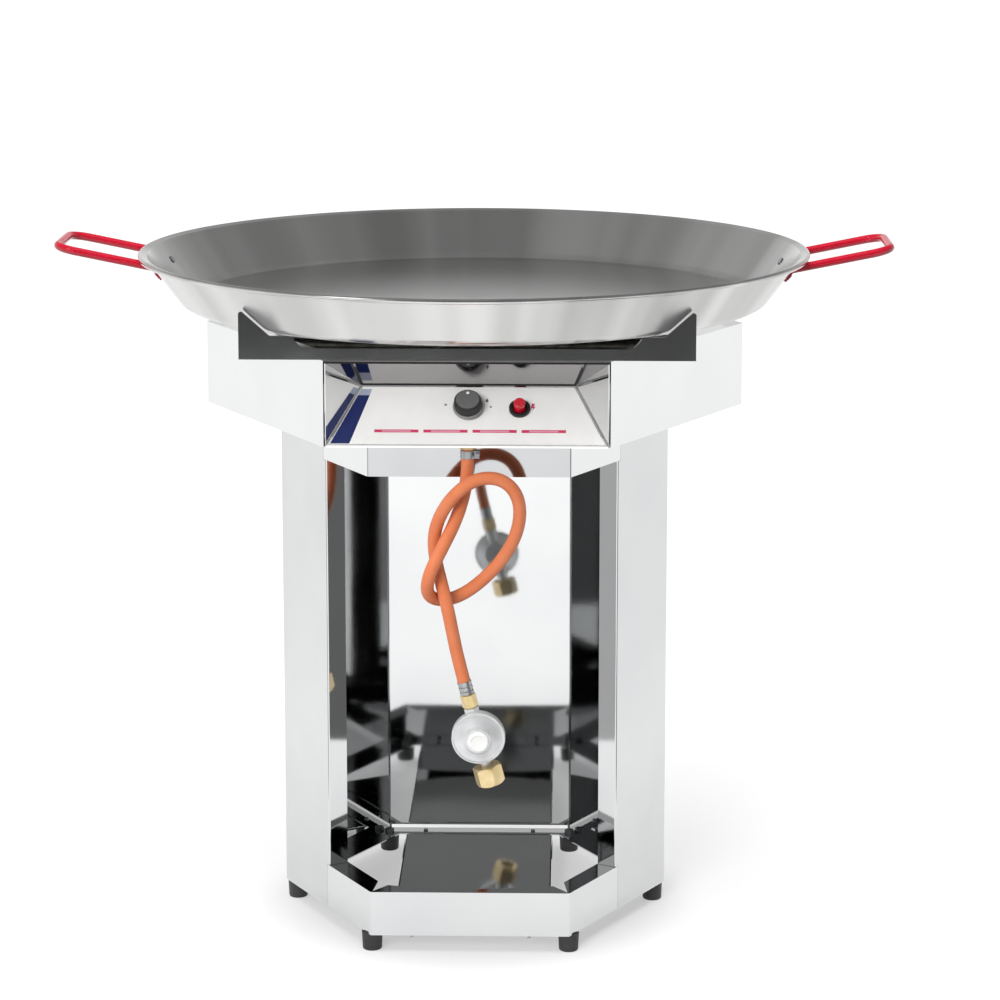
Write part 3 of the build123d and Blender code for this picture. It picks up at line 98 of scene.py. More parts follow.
def toneAndGloss(tree, shader, pattern, colours, rough):
    # one pattern drives both colour and roughness, so a duller patch is also a little darker
    share = addNode(tree, "ShaderNodeMapRange", {
        "Value": pattern, "From Min": noiseSpan[0], "From Max": noiseSpan[1],
    }).outputs["Result"]
    colour = addNode(tree, "ShaderNodeMix", {0: share, 6: tint(colours[0]), 7: tint(colours[1])}, data_type="RGBA")
    dulling = addNode(tree, "ShaderNodeMapRange", {"Value": share, "To Min": rough[1], "To Max": rough[0]})
    tree.links.new(colour.outputs[2], shader.inputs["Base Color"])
    tree.links.new(dulling.outputs["Result"], shader.inputs["Roughness"])


def rolledSheet(name, colours, rough, ripple, past=None):
    # cold-rolled stainless, polished: a mirror with slow ripples from the bending and faint level polishing lines;
    # the lines are about 0.05 mm apart on the real sheet and are drawn coarser to show
    finish, tree, shader, place = newFinish(name)
    haze = addNode(tree, "ShaderNodeTexNoise", {
        "Vector": place, "Scale": 1 / (sheet["haze"] * mm), "Detail": 3.0, "Roughness": 0.5,
    }).outputs["Fac"]
    toneAndGloss(tree, shader, haze, colours, rough)
    wave = addNode(tree, "ShaderNodeTexNoise", {
        "Vector": place, "Scale": 1 / (sheet["wave"] * mm), "Detail": 1.0,
    }).outputs["Fac"]
    level = 1 / (sheet["lineLength"] * mm)
    drawn = addNode(tree, "ShaderNodeMapping", {
        "Vector": place, "Scale": (level, level, 1 / (sheet["linePitch"] * mm)),
    }).outputs["Vector"]
    lines = addNode(tree, "ShaderNodeTexNoise", {"Vector": drawn, "Scale": 1.0, "Detail": 2.0}).outputs["Fac"]
    bent = addNode(tree, "ShaderNodeBump", {"Height": wave, "Strength": 1.0, "Distance": ripple * mm})
    fine = addNode(tree, "ShaderNodeBump", {
        "Height": lines, "Strength": 0.1, "Distance": sheet["lineDepth"] * mm, "Normal": bent.outputs["Normal"],
    })
    tree.links.new(fine.outputs["Normal"], shader.inputs["Normal"])
    shader.inputs["Metallic"].default_value = 1.0
    if past:
        # past a fold the sheet is painted another tone: painted light on a side that catches more light, painted shade
        # on a side that is shaded
        along = addNode(tree, "ShaderNodeSeparateXYZ", {"Vector": place}).outputs[past["axis"]]
        reach = addNode(tree, "ShaderNodeMath", {0: along}, operation="ABSOLUTE").outputs["Value"]  # both ends alike
        over = addNode(tree, "ShaderNodeMapRange", {
            "Value": reach, "From Min": past["from"] * mm, "From Max": past["to"] * mm,
        }).outputs["Result"]
        before = shader.inputs["Base Color"].links[0].from_socket
        mixed = addNode(tree, "ShaderNodeMix", {0: over, 6: before, 7: tint(past["colour"])}, data_type="RGBA")
        tree.links.new(mixed.outputs[2], shader.inputs["Base Color"])
    return finish


def spunSheet(name, colours, rough):
    # polished carbon steel, spun into a pan: ring-shaped turning marks draw the highlights out towards the rim, and
    # the wall's colour and roughness are streaked up and down, a painted reflection turned to lie where its highlights
    # fall;
    # the marks are about 0.3 mm apart on the real one and are drawn coarser to show
    finish, tree, shader, place = newFinish(name)
    flat = addNode(tree, "ShaderNodeVectorMath", {0: place, 1: (1.0, 1.0, 0.0)}, operation="MULTIPLY")
    reach = addNode(tree, "ShaderNodeVectorMath", {0: flat.outputs["Vector"]}, operation="LENGTH").outputs["Value"]
    rings = addNode(tree, "ShaderNodeTexNoise", {"W": reach, "Scale": 1 / (pan["ring"] * mm), "Detail": 2.0},
                    noise_dimensions="1D").outputs["Fac"]
    haze = addNode(tree, "ShaderNodeTexNoise", {
        "Vector": place, "Scale": 1 / (pan["haze"] * mm), "Detail": 2.0, "Roughness": 0.5,
    }).outputs["Fac"]
    spoke = addNode(tree, "ShaderNodeVectorMath", {0: flat.outputs["Vector"]}, operation="NORMALIZE")
    aimed = addNode(tree, "ShaderNodeMapping", {
        "Vector": spoke.outputs["Vector"], "Rotation": (0.0, 0.0, math.radians(pan["turn"])),
    })
    # painted reflection: the wall's colour streaked lighter and darker up and down
    streaks = addNode(tree, "ShaderNodeTexNoise", {
        "Vector": aimed.outputs["Vector"], "W": pan["seed"], "Scale": pan["rim"] / pan["streak"], "Detail": 2.0,
    }, noise_dimensions="4D").outputs["Fac"]
    onFloor = addNode(tree, "ShaderNodeMapRange", {
        "Value": haze, "To Min": pan["floorSpan"][0], "To Max": pan["floorSpan"][1],
    }).outputs["Result"]
    onWall = addNode(tree, "ShaderNodeMapRange", {
        "Value": streaks, "From Min": pan["streakSpan"][0], "From Max": pan["streakSpan"][1],
        "To Min": noiseSpan[0], "To Max": noiseSpan[1],
    }).outputs["Result"]
    wall = addNode(tree, "ShaderNodeMapRange", {
        "Value": reach, "From Min": pan["wall"][0] * mm, "From Max": pan["wall"][1] * mm,
    }).outputs["Result"]
    polish = addNode(tree, "ShaderNodeMix", {0: wall, 2: onFloor, 3: onWall}).outputs[0]
    toneAndGloss(tree, shader, polish, colours, rough)
    marks = addNode(tree, "ShaderNodeBump", {"Height": rings, "Strength": 0.2, "Distance": pan["ringDepth"] * mm})
    tree.links.new(marks.outputs["Normal"], shader.inputs["Normal"])
    ringwise = addNode(tree, "ShaderNodeTangent", direction_type="RADIAL", axis="Z")
    tree.links.new(ringwise.outputs["Tangent"], shader.inputs["Tangent"])
    shader.inputs["Metallic"].default_value = 1.0
    shader.inputs["Anisotropic"].default_value = 0.6
    shader.inputs["Anisotropic Rotation"].default_value = 0.25
    return finish


def grainedSkin(name, colours, rough, grain, depth, drift=skinDrift, metallic=0.0, coat=0.0):
    # plastic, rubber, powder coat or print: the grain of the mould or spray, and a slow drift in tone
    finish, tree, shader, place = newFinish(name)
    slow = addNode(tree, "ShaderNodeTexNoise", {"Vector": place, "Scale": 1 / (drift * mm), "Detail": 3.0})
    toneAndGloss(tree, shader, slow.outputs["Fac"], colours, rough)
    fine = addNode(tree, "ShaderNodeTexNoise", {"Vector": place, "Scale": 1 / (grain * mm), "Detail": 3.0})
    bump = addNode(tree, "ShaderNodeBump", {
        "Height": fine.outputs["Fac"], "Strength": 0.3, "Distance": depth * mm,
    })
    tree.links.new(bump.outputs["Normal"], shader.inputs["Normal"])
    shader.inputs["Metallic"].default_value = metallic
    shader.inputs["Coat Weight"].default_value = coat
    shader.inputs["Coat Roughness"].default_value = 0.08
    return finish


def grainedMetal(name, colours, rough, grain, depth, metallic=1.0):
    # cast, turned or plated metal: the same with a shorter drift
    return grainedSkin(name, colours, rough, grain, depth, metalDrift, metallic)


finishes = {
    # polished to a mirror: clear reflections, bent a little by the folds
    "polished_stainless": rolledSheet("polishedStainless", ("#DFE0E0", "#E3E4E4"), (0.03, 0.055), ripple=0.25),
    # left as rolled: a darker, softer mirror
    "plate_stainless": rolledSheet("coldRolledStainless", ("#C6C7C8", "#CECFD0"), (0.05, 0.1), ripple=0.2),
    # spun and polished: satin grey, its wall streaked lighter and darker by painted reflection
    "pan_steel": spunSheet("spunCarbonSteel", ("#B4B4B3", "#D7D7D6"), (0.2, 0.27)),
    # bright zinc plate: pale grey and a little cloudy
    "zinc_plated_steel": grainedMetal("zincPlatedSteel", ("#A9ABAD", "#B9BBBD"), (0.3, 0.42), grain=0.6, depth=0.03),
    # pickled mild steel: warm grey, uneven in tone
    "burner_steel": grainedMetal("pickledSteel", ("#8E8B86", "#A9A6A0"), (0.3, 0.5), grain=0.8, depth=0.05),
    # die-cast and tumbled, so half its light is soft
    "cast_zinc": grainedMetal("dieCastZinc", ("#DADBDC", "#E4E5E6"), (0.38, 0.5), grain=0.7, depth=0.04,
                              metallic=0.55),
    # turned brass, a little dulled: pale yellow with a wide shine
    "tap_brass": grainedMetal("turnedBrass", ("#DCC48C", "#E8D3A8"), (0.28, 0.4), grain=0.6, depth=0.03, metallic=0.8),
    # drawn copper tube: brown-red and bright
    "probe_metal": grainedMetal("drawnCopper", ("#B98A62", "#CFA077"), (0.2, 0.35), grain=0.6, depth=0.03),
    # moulded rubber: nearly black and dull
    "foot_rubber": grainedSkin("mouldedRubber", ("#2A2A2B", "#353536"), (0.42, 0.58), grain=0.5, depth=0.05),
    # extruded rubber: strong orange under a chalky bloom
    "orange_rubber": grainedSkin("extrudedRubber", ("#D8784C", "#DE8055"), (0.4, 0.52), grain=0.7, depth=0.04),
    # extruded silicone: dark with a soft sheen
    "lead_rubber": grainedSkin("extrudedSilicone", ("#2B2A2A", "#383736"), (0.4, 0.55), grain=0.5, depth=0.03),
    # powder coat: deep red, a slight orange peel under the gloss
    "red_enamel": grainedSkin("bakedPowderCoat", ("#A6001F", "#B00426"), (0.16, 0.22), grain=1.2, depth=0.04, coat=0.1),
    # ABS from a polished mould: clear red and shiny
    "red_plastic": grainedSkin("polishedRedAbs", ("#C4061F", "#D20E2A"), (0.16, 0.24), grain=0.6, depth=0.01, coat=0.5),
    # moulded nylon: milky white, soft
    "white_plastic": grainedSkin("mouldedWhiteNylon", ("#EDEDEB", "#F6F6F4"), (0.3, 0.4), grain=0.6, depth=0.02),
    # moulded nylon: black with a low sheen
    "black_plastic": grainedSkin("mouldedBlackNylon", ("#161617", "#1E1E1F"), (0.3, 0.42), grain=0.5, depth=0.03),
    # moulded phenolic: black, the dullest of the plastics
    "knob_plastic": grainedSkin("mouldedPhenolic", ("#1B1B1C", "#242425"), (0.36, 0.5), grain=0.5, depth=0.04),
    # polyester foil with a satin face: warm white
    "printed_foil": grainedSkin("satinPolyester", ("#F2F1EF", "#F6F5F3"), (0.3, 0.42), grain=0.9, depth=0.01),
    # glazed ceramic: cream with a soft shine
    "electrode_ceramic": grainedSkin("glazedCeramic", ("#DAD4C8", "#E8E3D9"), (0.25, 0.4), grain=0.8, depth=0.03),
}
for node in nodes.values():
    for slot in node.material_slots:
        slot.material = finishes[slot.material.name.split(".")[0]]
# the cabinet is painted a little greyer than the burner box's mirror, and its sides greyer still: shaded copies of the
# same mirror, painted shade
cabinetSheet = rolledSheet("polishedCabinetStainless", ("#D7D8D9", "#DCDDDD"), (0.03, 0.055), ripple=0.25)
sideSheet = rolledSheet("polishedSideStainless", ("#CECFD0", "#D3D4D4"), (0.03, 0.055), ripple=0.25)
# the upper band's face is painted darker than its ends, a painted shade, and its ends keep the bright polished tone
bandSheet = rolledSheet("rolledBandStainless", ("#B6B7B8", "#BCBDBE"), (0.05, 0.09), ripple=0.25,
                        past={"axis": "X", "from": 117.0, "to": 119.0, "colour": "#E0E1E1"})
# the fascia is flat and painted a little lighter than the other polished sheet, and the roof of its recess is painted
# darker above a set height: painted light on the fascia, painted shade in the recess
fasciaSheet = rolledSheet("polishedFasciaStainless", ("#EAEBEB", "#EEEFEF"), (0.03, 0.055), ripple=0.1,
                          past={"axis": "Z", "from": 684.0, "to": 690.0, "colour": "#9C9A9B"})
# nickel on turned brass: silvery, a little warm
stemNickel = grainedMetal("nickelPlatedBrass", ("#D6D3D0", "#E0DDDB"), (0.22, 0.34), grain=0.6, depth=0.03,
                          metallic=0.8)
for finish, names in (
    (cabinetSheet, ("base_ring", "base_back_panel", "panel_rivets", "lower_front_band", "bottle_shelf")),
    (sideSheet, ("base_left_panel", "base_right_panel")),
    (bandSheet, ("upper_front_band",)),
    (fasciaSheet, ("control_fascia",)),
    (stemNickel, ("regulator_stem",)),
):
    for name in names:
        nodes[name].material_slots[0].material = finish
print("finishes set")


# Hose, on the route of its solid
hose = {
    "diameter": 15.0, "length": 0.7127, "exit": (0.0, -0.25, 0.6215), "order": 3, "steps": 16, "sides": 10,
    "route": [
        (0, -250, 621.5), (0, -250, 596), (-4, -250, 568), (-14, -262, 538), (-30.5, -280, 508),
        (-44, -287, 481), (-47, -273, 456), (-34, -252, 443), (-11, -241, 445), (15, -240, 463),
        (40, -246, 491), (57, -256, 524), (61, -265, 557), (52, -271, 581), (33, -274, 593),
        (8, -276, 591), (-15, -275, 573), (-32, -269, 547), (-39.5, -260, 519), (-37, -257, 492),
        (-30, -266, 467), (-23, -274, 441), (-17.5, -270, 411), (-11.5, -265, 379), (-4.5, -263, 351),
    ],
}
hoseCurve = bpy.data.curves.new("gasHose", "CURVE")
hoseCurve.dimensions = "3D"
hoseLine = hoseCurve.splines.new("NURBS")
hoseLine.points.add(len(hose["route"]) - 1)
for point, spot in zip(hoseLine.points, hose["route"]):
    point.co = (spot[0] * mm, spot[1] * mm, spot[2] * mm, 1.0)
hoseLine.order_u = hose["order"]
hoseLine.use_endpoint_u = True
hoseLine.resolution_u = hose["steps"]
hoseCurve.bevel_depth = hose["diameter"] * mm / 2
hoseCurve.bevel_resolution = hose["sides"]
hoseCurve.use_fill_caps = True
hoseCurve.materials.append(finishes["orange_rubber"])
hosePiece = bpy.data.objects.new("gasHose", hoseCurve)
scene.collection.objects.link(hosePiece)
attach(hosePiece, "stand")
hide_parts("gas_hose")
print("hose laid")


# Stage: pale floor, soft surroundings, dark screens that only reflections see
def stagePlane(name, corners, finish):
    mesh = bpy.data.meshes.new(name)
    mesh.from_pydata(corners, [], [(0, 1, 2, 3)])
    mesh.materials.append(finish)
    plane = bpy.data.objects.new(name, mesh)
    scene.collection.objects.link(plane)
    return plane


floor = {
    "half": 60.0, "colour": "#AAAAAA", "under": 0.42, "near": 0.63, "distant": 0.89,
    "shade": (0.19, 0.29), "fall": (1.0, 5.0),
}


def glowFinish(name, plan):
    # takes shadows, and glows to the camera and in metal only: least under and round the object, a painted shadow
    # there, most where the lamps fall off
    finish, tree, shader, place = newFinish(name)
    away = addNode(tree, "ShaderNodeVectorMath", {0: place}, operation="LENGTH").outputs["Value"]
    # painted shadow: the glow is dimmed under and round the object
    close = addNode(tree, "ShaderNodeMapRange", {
        "Value": away, "From Min": plan["shade"][0], "From Max": plan["shade"][1],
        "To Min": plan["under"], "To Max": plan["near"],
    }, interpolation_type="SMOOTHSTEP").outputs["Result"]
    beyond = addNode(tree, "ShaderNodeMapRange", {
        "Value": away, "From Min": plan["fall"][0], "From Max": plan["fall"][1],
        "To Min": 0.0, "To Max": plan["distant"] - plan["near"],
    }, interpolation_type="SMOOTHSTEP").outputs["Result"]
    glow = addNode(tree, "ShaderNodeMath", {0: close, 1: beyond}, operation="ADD").outputs["Value"]
    path = addNode(tree, "ShaderNodeLightPath").outputs
    mirrored = addNode(tree, "ShaderNodeMath", {
        0: path["Is Glossy Ray"], 1: path["Is Transmission Ray"],
    }, operation="ADD")
    shown = addNode(tree, "ShaderNodeMath", {0: path["Is Camera Ray"], 1: mirrored.outputs["Value"]}, operation="ADD")
    strength = addNode(tree, "ShaderNodeMath", {0: glow, 1: shown.outputs["Value"]}, operation="MULTIPLY")
    tree.links.new(strength.outputs["Value"], shader.inputs["Emission Strength"])
    shader.inputs["Base Color"].default_value = tint(plan["colour"])
    shader.inputs["Roughness"].default_value = 0.9
    shader.inputs["Specular IOR Level"].default_value = 0.0
    shader.inputs["Emission Color"].default_value = (1.0, 1.0, 1.0, 1.0)
    return finish


def screenFinish(name, plan):
    # a dim card whose sides and top fade out
    finish, tree, shader, place = newFinish(name)
    spread = addNode(tree, "ShaderNodeSeparateXYZ", {"Vector": place.node.outputs["Generated"]}).outputs
    offside = addNode(tree, "ShaderNodeMath", {0: spread["X"], 1: 0.5}, operation="SUBTRACT").outputs["Value"]
    reach = addNode(tree, "ShaderNodeMath", {0: offside}, operation="ABSOLUTE").outputs["Value"]
    across = addNode(tree, "ShaderNodeMapRange", {
        "Value": reach, "From Min": 0.5 - plan["fade"], "From Max": 0.5, "To Min": 1.0, "To Max": 0.0,
    }, interpolation_type="SMOOTHSTEP").outputs["Result"]
    upward = addNode(tree, "ShaderNodeMapRange", {
        "Value": spread["Z"], "From Min": 1.0 - plan["fade"], "From Max": 1.0, "To Min": 1.0, "To Max": 0.0,
    }, interpolation_type="SMOOTHSTEP").outputs["Result"]
    cover = addNode(tree, "ShaderNodeMath", {0: across, 1: upward}, operation="MULTIPLY").outputs["Value"]
    tree.links.new(cover, shader.inputs["Alpha"])
    shader.inputs["Base Color"].default_value = (0.0, 0.0, 0.0, 1.0)
    shader.inputs["Specular IOR Level"].default_value = 0.0
    shader.inputs["Emission Color"].default_value = (1.0, 1.0, 1.0, 1.0)
    shader.inputs["Emission Strength"].default_value = plan["glow"]
    return finish


half = floor["half"]
stagePlane("studioFloor", [(-half, -half, 0), (half, -half, 0), (half, half, 0), (-half, half, 0)],
           glowFinish("mattPaper", floor))
screens = {
    "frontScreen": {"glow": 0.085, "ends": ((-1.6, -3.6), (1.6, -3.6)), "foot": 0.06, "top": 1.2, "fade": 0.02},
    "rightScreen": {"glow": 0.16, "ends": ((0.345, -0.79), (0.62, -0.33)), "foot": 0.0, "top": 0.62, "fade": 0.2},
    "leftScreen": {"glow": 0.55, "ends": ((-0.62, -0.33), (-0.345, -0.79)), "foot": 0.0, "top": 0.62, "fade": 0.2},
}
for name, plan in screens.items():
    (ax, ay), (bx, by) = plan["ends"]
    corners = [(ax, ay, plan["foot"]), (bx, by, plan["foot"]), (bx, by, plan["top"]), (ax, ay, plan["top"])]
    screen = stagePlane(name, corners, screenFinish(name, plan))
    screen.visible_camera = False
    screen.visible_diffuse = False
    screen.visible_shadow = False

# the room: bright low down, dim overhead, dimmer still behind the camera and to the right
room = {
    "levels": ((0.0, 0.8), (0.17, 0.63), (0.42, 0.35), (0.65, 0.265), (1.0, 0.245)),
    "front": 0.4, "frontSpan": (-0.9, -0.4), "left": 1.4, "right": 0.85, "backdrop": 0.12,
}
world = bpy.data.worlds.new("studio")
scene.world = world
world.use_nodes = True
air = world.node_tree
air.nodes.clear()
heading = addNode(air, "ShaderNodeTexCoord").outputs["Generated"]
axes = addNode(air, "ShaderNodeSeparateXYZ", {"Vector": heading})
height = addNode(air, "ShaderNodeValToRGB", {"Fac": axes.outputs["Z"]})
stops = height.color_ramp.elements
for spot, level in room["levels"]:
    stop = stops[0] if spot == 0.0 else stops[-1] if spot == 1.0 else stops.new(spot)
    stop.color = (level, level, level, 1.0)
depth = addNode(air, "ShaderNodeMapRange", {
    "Value": axes.outputs["Y"], "From Min": room["frontSpan"][0], "From Max": room["frontSpan"][1],
    "To Min": room["front"], "To Max": 1.0,
}).outputs["Result"]
sideways = addNode(air, "ShaderNodeMapRange", {
    "Value": axes.outputs["X"], "From Min": -1.0, "From Max": 1.0, "To Min": room["left"], "To Max": room["right"],
}).outputs["Result"]
ambient = addNode(air, "ShaderNodeMath", {0: depth, 1: sideways}, operation="MULTIPLY").outputs["Value"]
# the white backdrop: all of it to the camera, its foot in metal
path = addNode(air, "ShaderNodeLightPath").outputs
mirrored = addNode(air, "ShaderNodeMath", {0: path["Is Glossy Ray"], 1: path["Is Transmission Ray"]}, operation="ADD")
foot = addNode(air, "ShaderNodeMapRange", {
    "Value": axes.outputs["Z"], "From Min": 0.0, "From Max": room["backdrop"], "To Min": 1.0, "To Max": 0.0,
}).outputs["Result"]
inMetal = addNode(air, "ShaderNodeMath", {0: mirrored.outputs["Value"], 1: foot}, operation="MULTIPLY")
seen = addNode(air, "ShaderNodeMath", {
    0: path["Is Camera Ray"], 1: inMetal.outputs["Value"],
}, operation="ADD").outputs["Value"]
strength = addNode(air, "ShaderNodeMix", {0: seen, 2: ambient, 3: 1.0}).outputs[0]
shown = addNode(air, "ShaderNodeMix", {
    0: seen, 6: height.outputs["Color"], 7: (1.0, 1.0, 1.0, 1.0),
}, data_type="RGBA")
backdrop = addNode(air, "ShaderNodeBackground", {"Color": shown.outputs[2], "Strength": strength})
air.links.new(backdrop.outputs["Background"], addNode(air, "ShaderNodeOutputWorld").inputs["Surface"])

lamps = {
    "topLight": {
        "place": (0.0, -0.6, 4.2), "aim": (0.0, 0.0, 0.4), "size": (3.6, 3.6), "power": 200.0, "glossy": False,
    },
    "frontLight": {
        "place": (-2.2, -5.8, 3.0), "aim": (0.0, 0.0, 0.5), "size": (2.8, 2.2), "power": 280.0, "glossy": False,
    },
    # small enough to leave one bright spot on what is round
    "catchLight": {
        "place": (-2.2, -2.4, 2.9), "aim": (0.0, 0.0, 0.6), "size": (0.9, 0.9), "power": 12.0, "glossy": True,
    },
}
for name, plan in lamps.items():
    data = bpy.data.lights.new(name, "AREA")
    data.shape = "RECTANGLE"
    data.size, data.size_y = plan["size"]
    data.energy = plan["power"]
    light = bpy.data.objects.new(name, data)
    light.location = plan["place"]
    light.rotation_euler = (Vector(plan["aim"]) - Vector(plan["place"])).to_track_quat("-Z", "Y").to_euler()
    light.visible_glossy = plan["glossy"]
    scene.collection.objects.link(light)
print("stage lit")


# Turned and flat pieces are drawn along an axis: across is their x, out is where they rise
turning = {"sides": 96, "arcSteps": 5, "arcShare": 0.45, "weld": 1e-4, "crease": 40.0}


def makePiece(name, mesh, finish, body, stands=()):
    piece = bpy.data.objects.new(name, mesh)
    mesh.materials.clear()
    mesh.materials.append(finish)
    scene.collection.objects.link(piece)
    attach(piece, body)
    if stands:
        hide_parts(*stands)
    return piece


def softened(profile, radius):
    # the profile with an arc at each inner corner, no larger than its neighbours leave room for
    steps = turning["arcSteps"]
    points = [Vector(profile[0])]
    for before, spot, after in zip(profile, profile[1:], profile[2:]):
        here = Vector(spot)
        back = Vector(before) - here
        ahead = Vector(after) - here
        cut = min(radius, back.length * turning["arcShare"], ahead.length * turning["arcShare"])
        start = here + back.normalized() * cut
        end = here + ahead.normalized() * cut
        for i in range(steps + 1):
            t = i / steps
            points.append(start * (1 - t) ** 2 + here * 2 * t * (1 - t) + end * t ** 2)
    points.append(Vector(profile[-1]))
    return points


def axesAt(seat, across, out):
    # millimetres along a piece's own axes, to metres in the frame
    out = Vector(out).normalized()
    across = Vector(across)
    across = (across - out * across.dot(out)).normalized()
    turn = Matrix((across, out.cross(across), out)).transposed().to_4x4()
    return Matrix.Scale(mm, 4) @ Matrix.Translation(seat) @ turn


def turned(name, profile, where, count=turning["sides"], outline=None):
    # rings of vertices round the axis; outline can pull each ring in, as a hexagon does
    vertices = []
    for radius, height in profile:
        for k in range(count):
            angle = 2 * math.pi * k / count
            reach = min(radius, outline(angle)) if outline else radius
            vertices.append((reach * math.cos(angle), reach * math.sin(angle), height))
    faces = []
    for i in range(len(profile) - 1):
        for k in range(count):
            after = (k + 1) % count
            faces.append((i * count + k, i * count + after, (i + 1) * count + after, (i + 1) * count + k))
    mesh = bpy.data.meshes.new(name)
    mesh.from_pydata(vertices, [], faces)
    shape = bmesh.new()
    shape.from_mesh(mesh)
    bmesh.ops.remove_doubles(shape, verts=shape.verts, dist=turning["weld"])
    bmesh.ops.holes_fill(shape, edges=[e for e in shape.edges if e.is_boundary], sides=0)
    bmesh.ops.recalc_face_normals(shape, faces=shape.faces)
    shape.to_mesh(mesh)
    shape.free()
    mesh.transform(where)
    mesh.shade_smooth()
    mesh.set_sharp_from_angle(angle=math.radians(turning["crease"]))
    return mesh


def hexagon(across):
    # how far out a hexagon's edge is at an angle
    return lambda angle: across / 2 / math.cos((angle + math.pi / 6) % (math.pi / 3) - math.pi / 6)


def newGrowth(name, sizes):
    # a Geometry Nodes tree with a named input for each size
    tree = bpy.data.node_groups.new(name, "GeometryNodeTree")
    tree.interface.new_socket("Geometry", in_out="OUTPUT", socket_type="NodeSocketGeometry")
    for size, value in sizes.items():
        kind = "NodeSocketInt" if isinstance(value, int) else "NodeSocketFloat"
        tree.interface.new_socket(size, in_out="INPUT", socket_type=kind)
    return tree, tree.nodes.new("NodeGroupInput").outputs


def grown(name, tree, sizes, made, finish, where):
    # realized, given its finish and kept as a plain mesh
    whole = addNode(tree, "GeometryNodeRealizeInstances", {"Geometry": made})
    dressed = addNode(tree, "GeometryNodeSetMaterial", {"Geometry": whole.outputs["Geometry"], "Material": finish})
    tree.links.new(dressed.outputs["Geometry"], tree.nodes.new("NodeGroupOutput").inputs[0])
    carrier = bpy.data.objects.new(name, bpy.data.meshes.new(name))
    scene.collection.objects.link(carrier)
    change = carrier.modifiers.new("growth", "NODES")
    change.node_group = tree
    for item in tree.interface.items_tree:
        if item.in_out == "INPUT":
            change[item.identifier] = sizes[item.name]
    mesh = bpy.data.meshes.new_from_object(carrier.evaluated_get(bpy.context.evaluated_depsgraph_get()))
    carrier.modifiers.remove(change)
    bpy.data.objects.remove(carrier)
    mesh.name = name
    mesh.transform(where)
    return mesh


# Sloping panel: its print, then the knob and the igniter
panel = {
    "seat": Vector((0.0, -242.63, 665.688)), "across": (1, 0, 0), "out": (0.0, -0.671518, 0.740988),
    "foil": 0.3, "ink": 0.05,
}
onPanel = axesAt(panel["seat"], panel["across"], panel["out"])


def printPatch(name, outline, finish):
    shape = bmesh.new()
    face = shape.faces.new([shape.verts.new((x, y, panel["foil"])) for x, y in outline])
    deep = bmesh.ops.extrude_face_region(shape, geom=[face])
    raised = [v for v in deep["geom"] if isinstance(v, bmesh.types.BMVert)]
    bmesh.ops.translate(shape, verts=raised, vec=(0, 0, panel["ink"]))
    bmesh.ops.recalc_face_normals(shape, faces=shape.faces)
    mesh = bpy.data.meshes.new(name)
    shape.to_mesh(mesh)
    shape.free()
    mesh.transform(onPanel)
    makePiece(name, mesh, finish, "stand")


# screen-printed ink: flat colour with the foil's satin face
inkTones = {
    "blue": ("#12205A", "#172661"), "pale": ("#98A0B4", "#A6AEC0"), "red": ("#C8325A", "#D23F66"),
    "pink": ("#DF8DA4", "#E49AAF"), "grey": ("#6A6A6C", "#77777A"),
}
inks = {}
for ink, tones in inkTones.items():
    inks[ink] = grainedSkin(ink + "ScreenInk", tones, (0.3, 0.4), grain=0.9, depth=0.01)
stripe = {"foot": -49.6, "turn": 19.5, "head": 28.4, "left": (-155.4, -122.6), "right": (-133.4, -110.4)}


def stripeEdge(side, y):
    share = (y - stripe["foot"]) / (stripe["head"] - stripe["foot"])
    return stripe[side][0] + (stripe[side][1] - stripe[side][0]) * share


for name, ink, low, high in (("panelStripe", "blue", stripe["foot"], stripe["turn"]),
                             ("panelStripeEnd", "pale", stripe["turn"], stripe["head"])):
    printPatch(name, [(stripeEdge("left", low), low), (stripeEdge("right", low), low),
                      (stripeEdge("right", high), high), (stripeEdge("left", high), high)], inks[ink])

rules = {"Count": 4, "Pitch": 55.85, "Length": 50.2, "Width": 4.2, "Start": -80.7, "Level": -31.5, "Thickness": 0.05}


def growRules(name, sizes, finish):
    tree, size = newGrowth(name, sizes)
    step = addNode(tree, "ShaderNodeCombineXYZ", {"X": size["Pitch"]})
    first = addNode(tree, "ShaderNodeCombineXYZ", {"X": size["Start"], "Y": size["Level"]})
    extent = addNode(tree, "ShaderNodeCombineXYZ", {"X": size["Length"], "Y": size["Width"], "Z": size["Thickness"]})
    spots = addNode(tree, "GeometryNodeMeshLine", {
        "Count": size["Count"], "Start Location": first.outputs["Vector"], "Offset": step.outputs["Vector"],
    })
    bar = addNode(tree, "GeometryNodeMeshCube", {"Size": extent.outputs["Vector"]})
    bars = addNode(tree, "GeometryNodeInstanceOnPoints", {
        "Points": spots.outputs["Mesh"], "Instance": bar.outputs["Mesh"],
    })
    where = onPanel @ Matrix.Translation((0, 0, panel["foil"] + sizes["Thickness"] / 2))
    mesh = grown(name, tree, sizes, bars.outputs["Instances"], finish, where)
    makePiece(name, mesh, finish, "stand")


ruleFields = {**rules, "Length": 33.0, "Width": 2.4, "Thickness": 0.08}
growRules("panelRules", rules, inks["red"])
growRules("panelRuleFields", ruleFields, inks["pink"])
spark = {
    "at": (74.6, 2.6),
    "bolt": ((-1.6, 5.6), (1.9, 5.6), (0.4, 1.4), (2.6, 1.4), (-1.4, -5.8), (-0.3, -0.9), (-2.6, -0.9)),
}
printPatch("sparkMark", [(spark["at"][0] + x, spark["at"][1] + y) for x, y in spark["bolt"]], inks["red"])


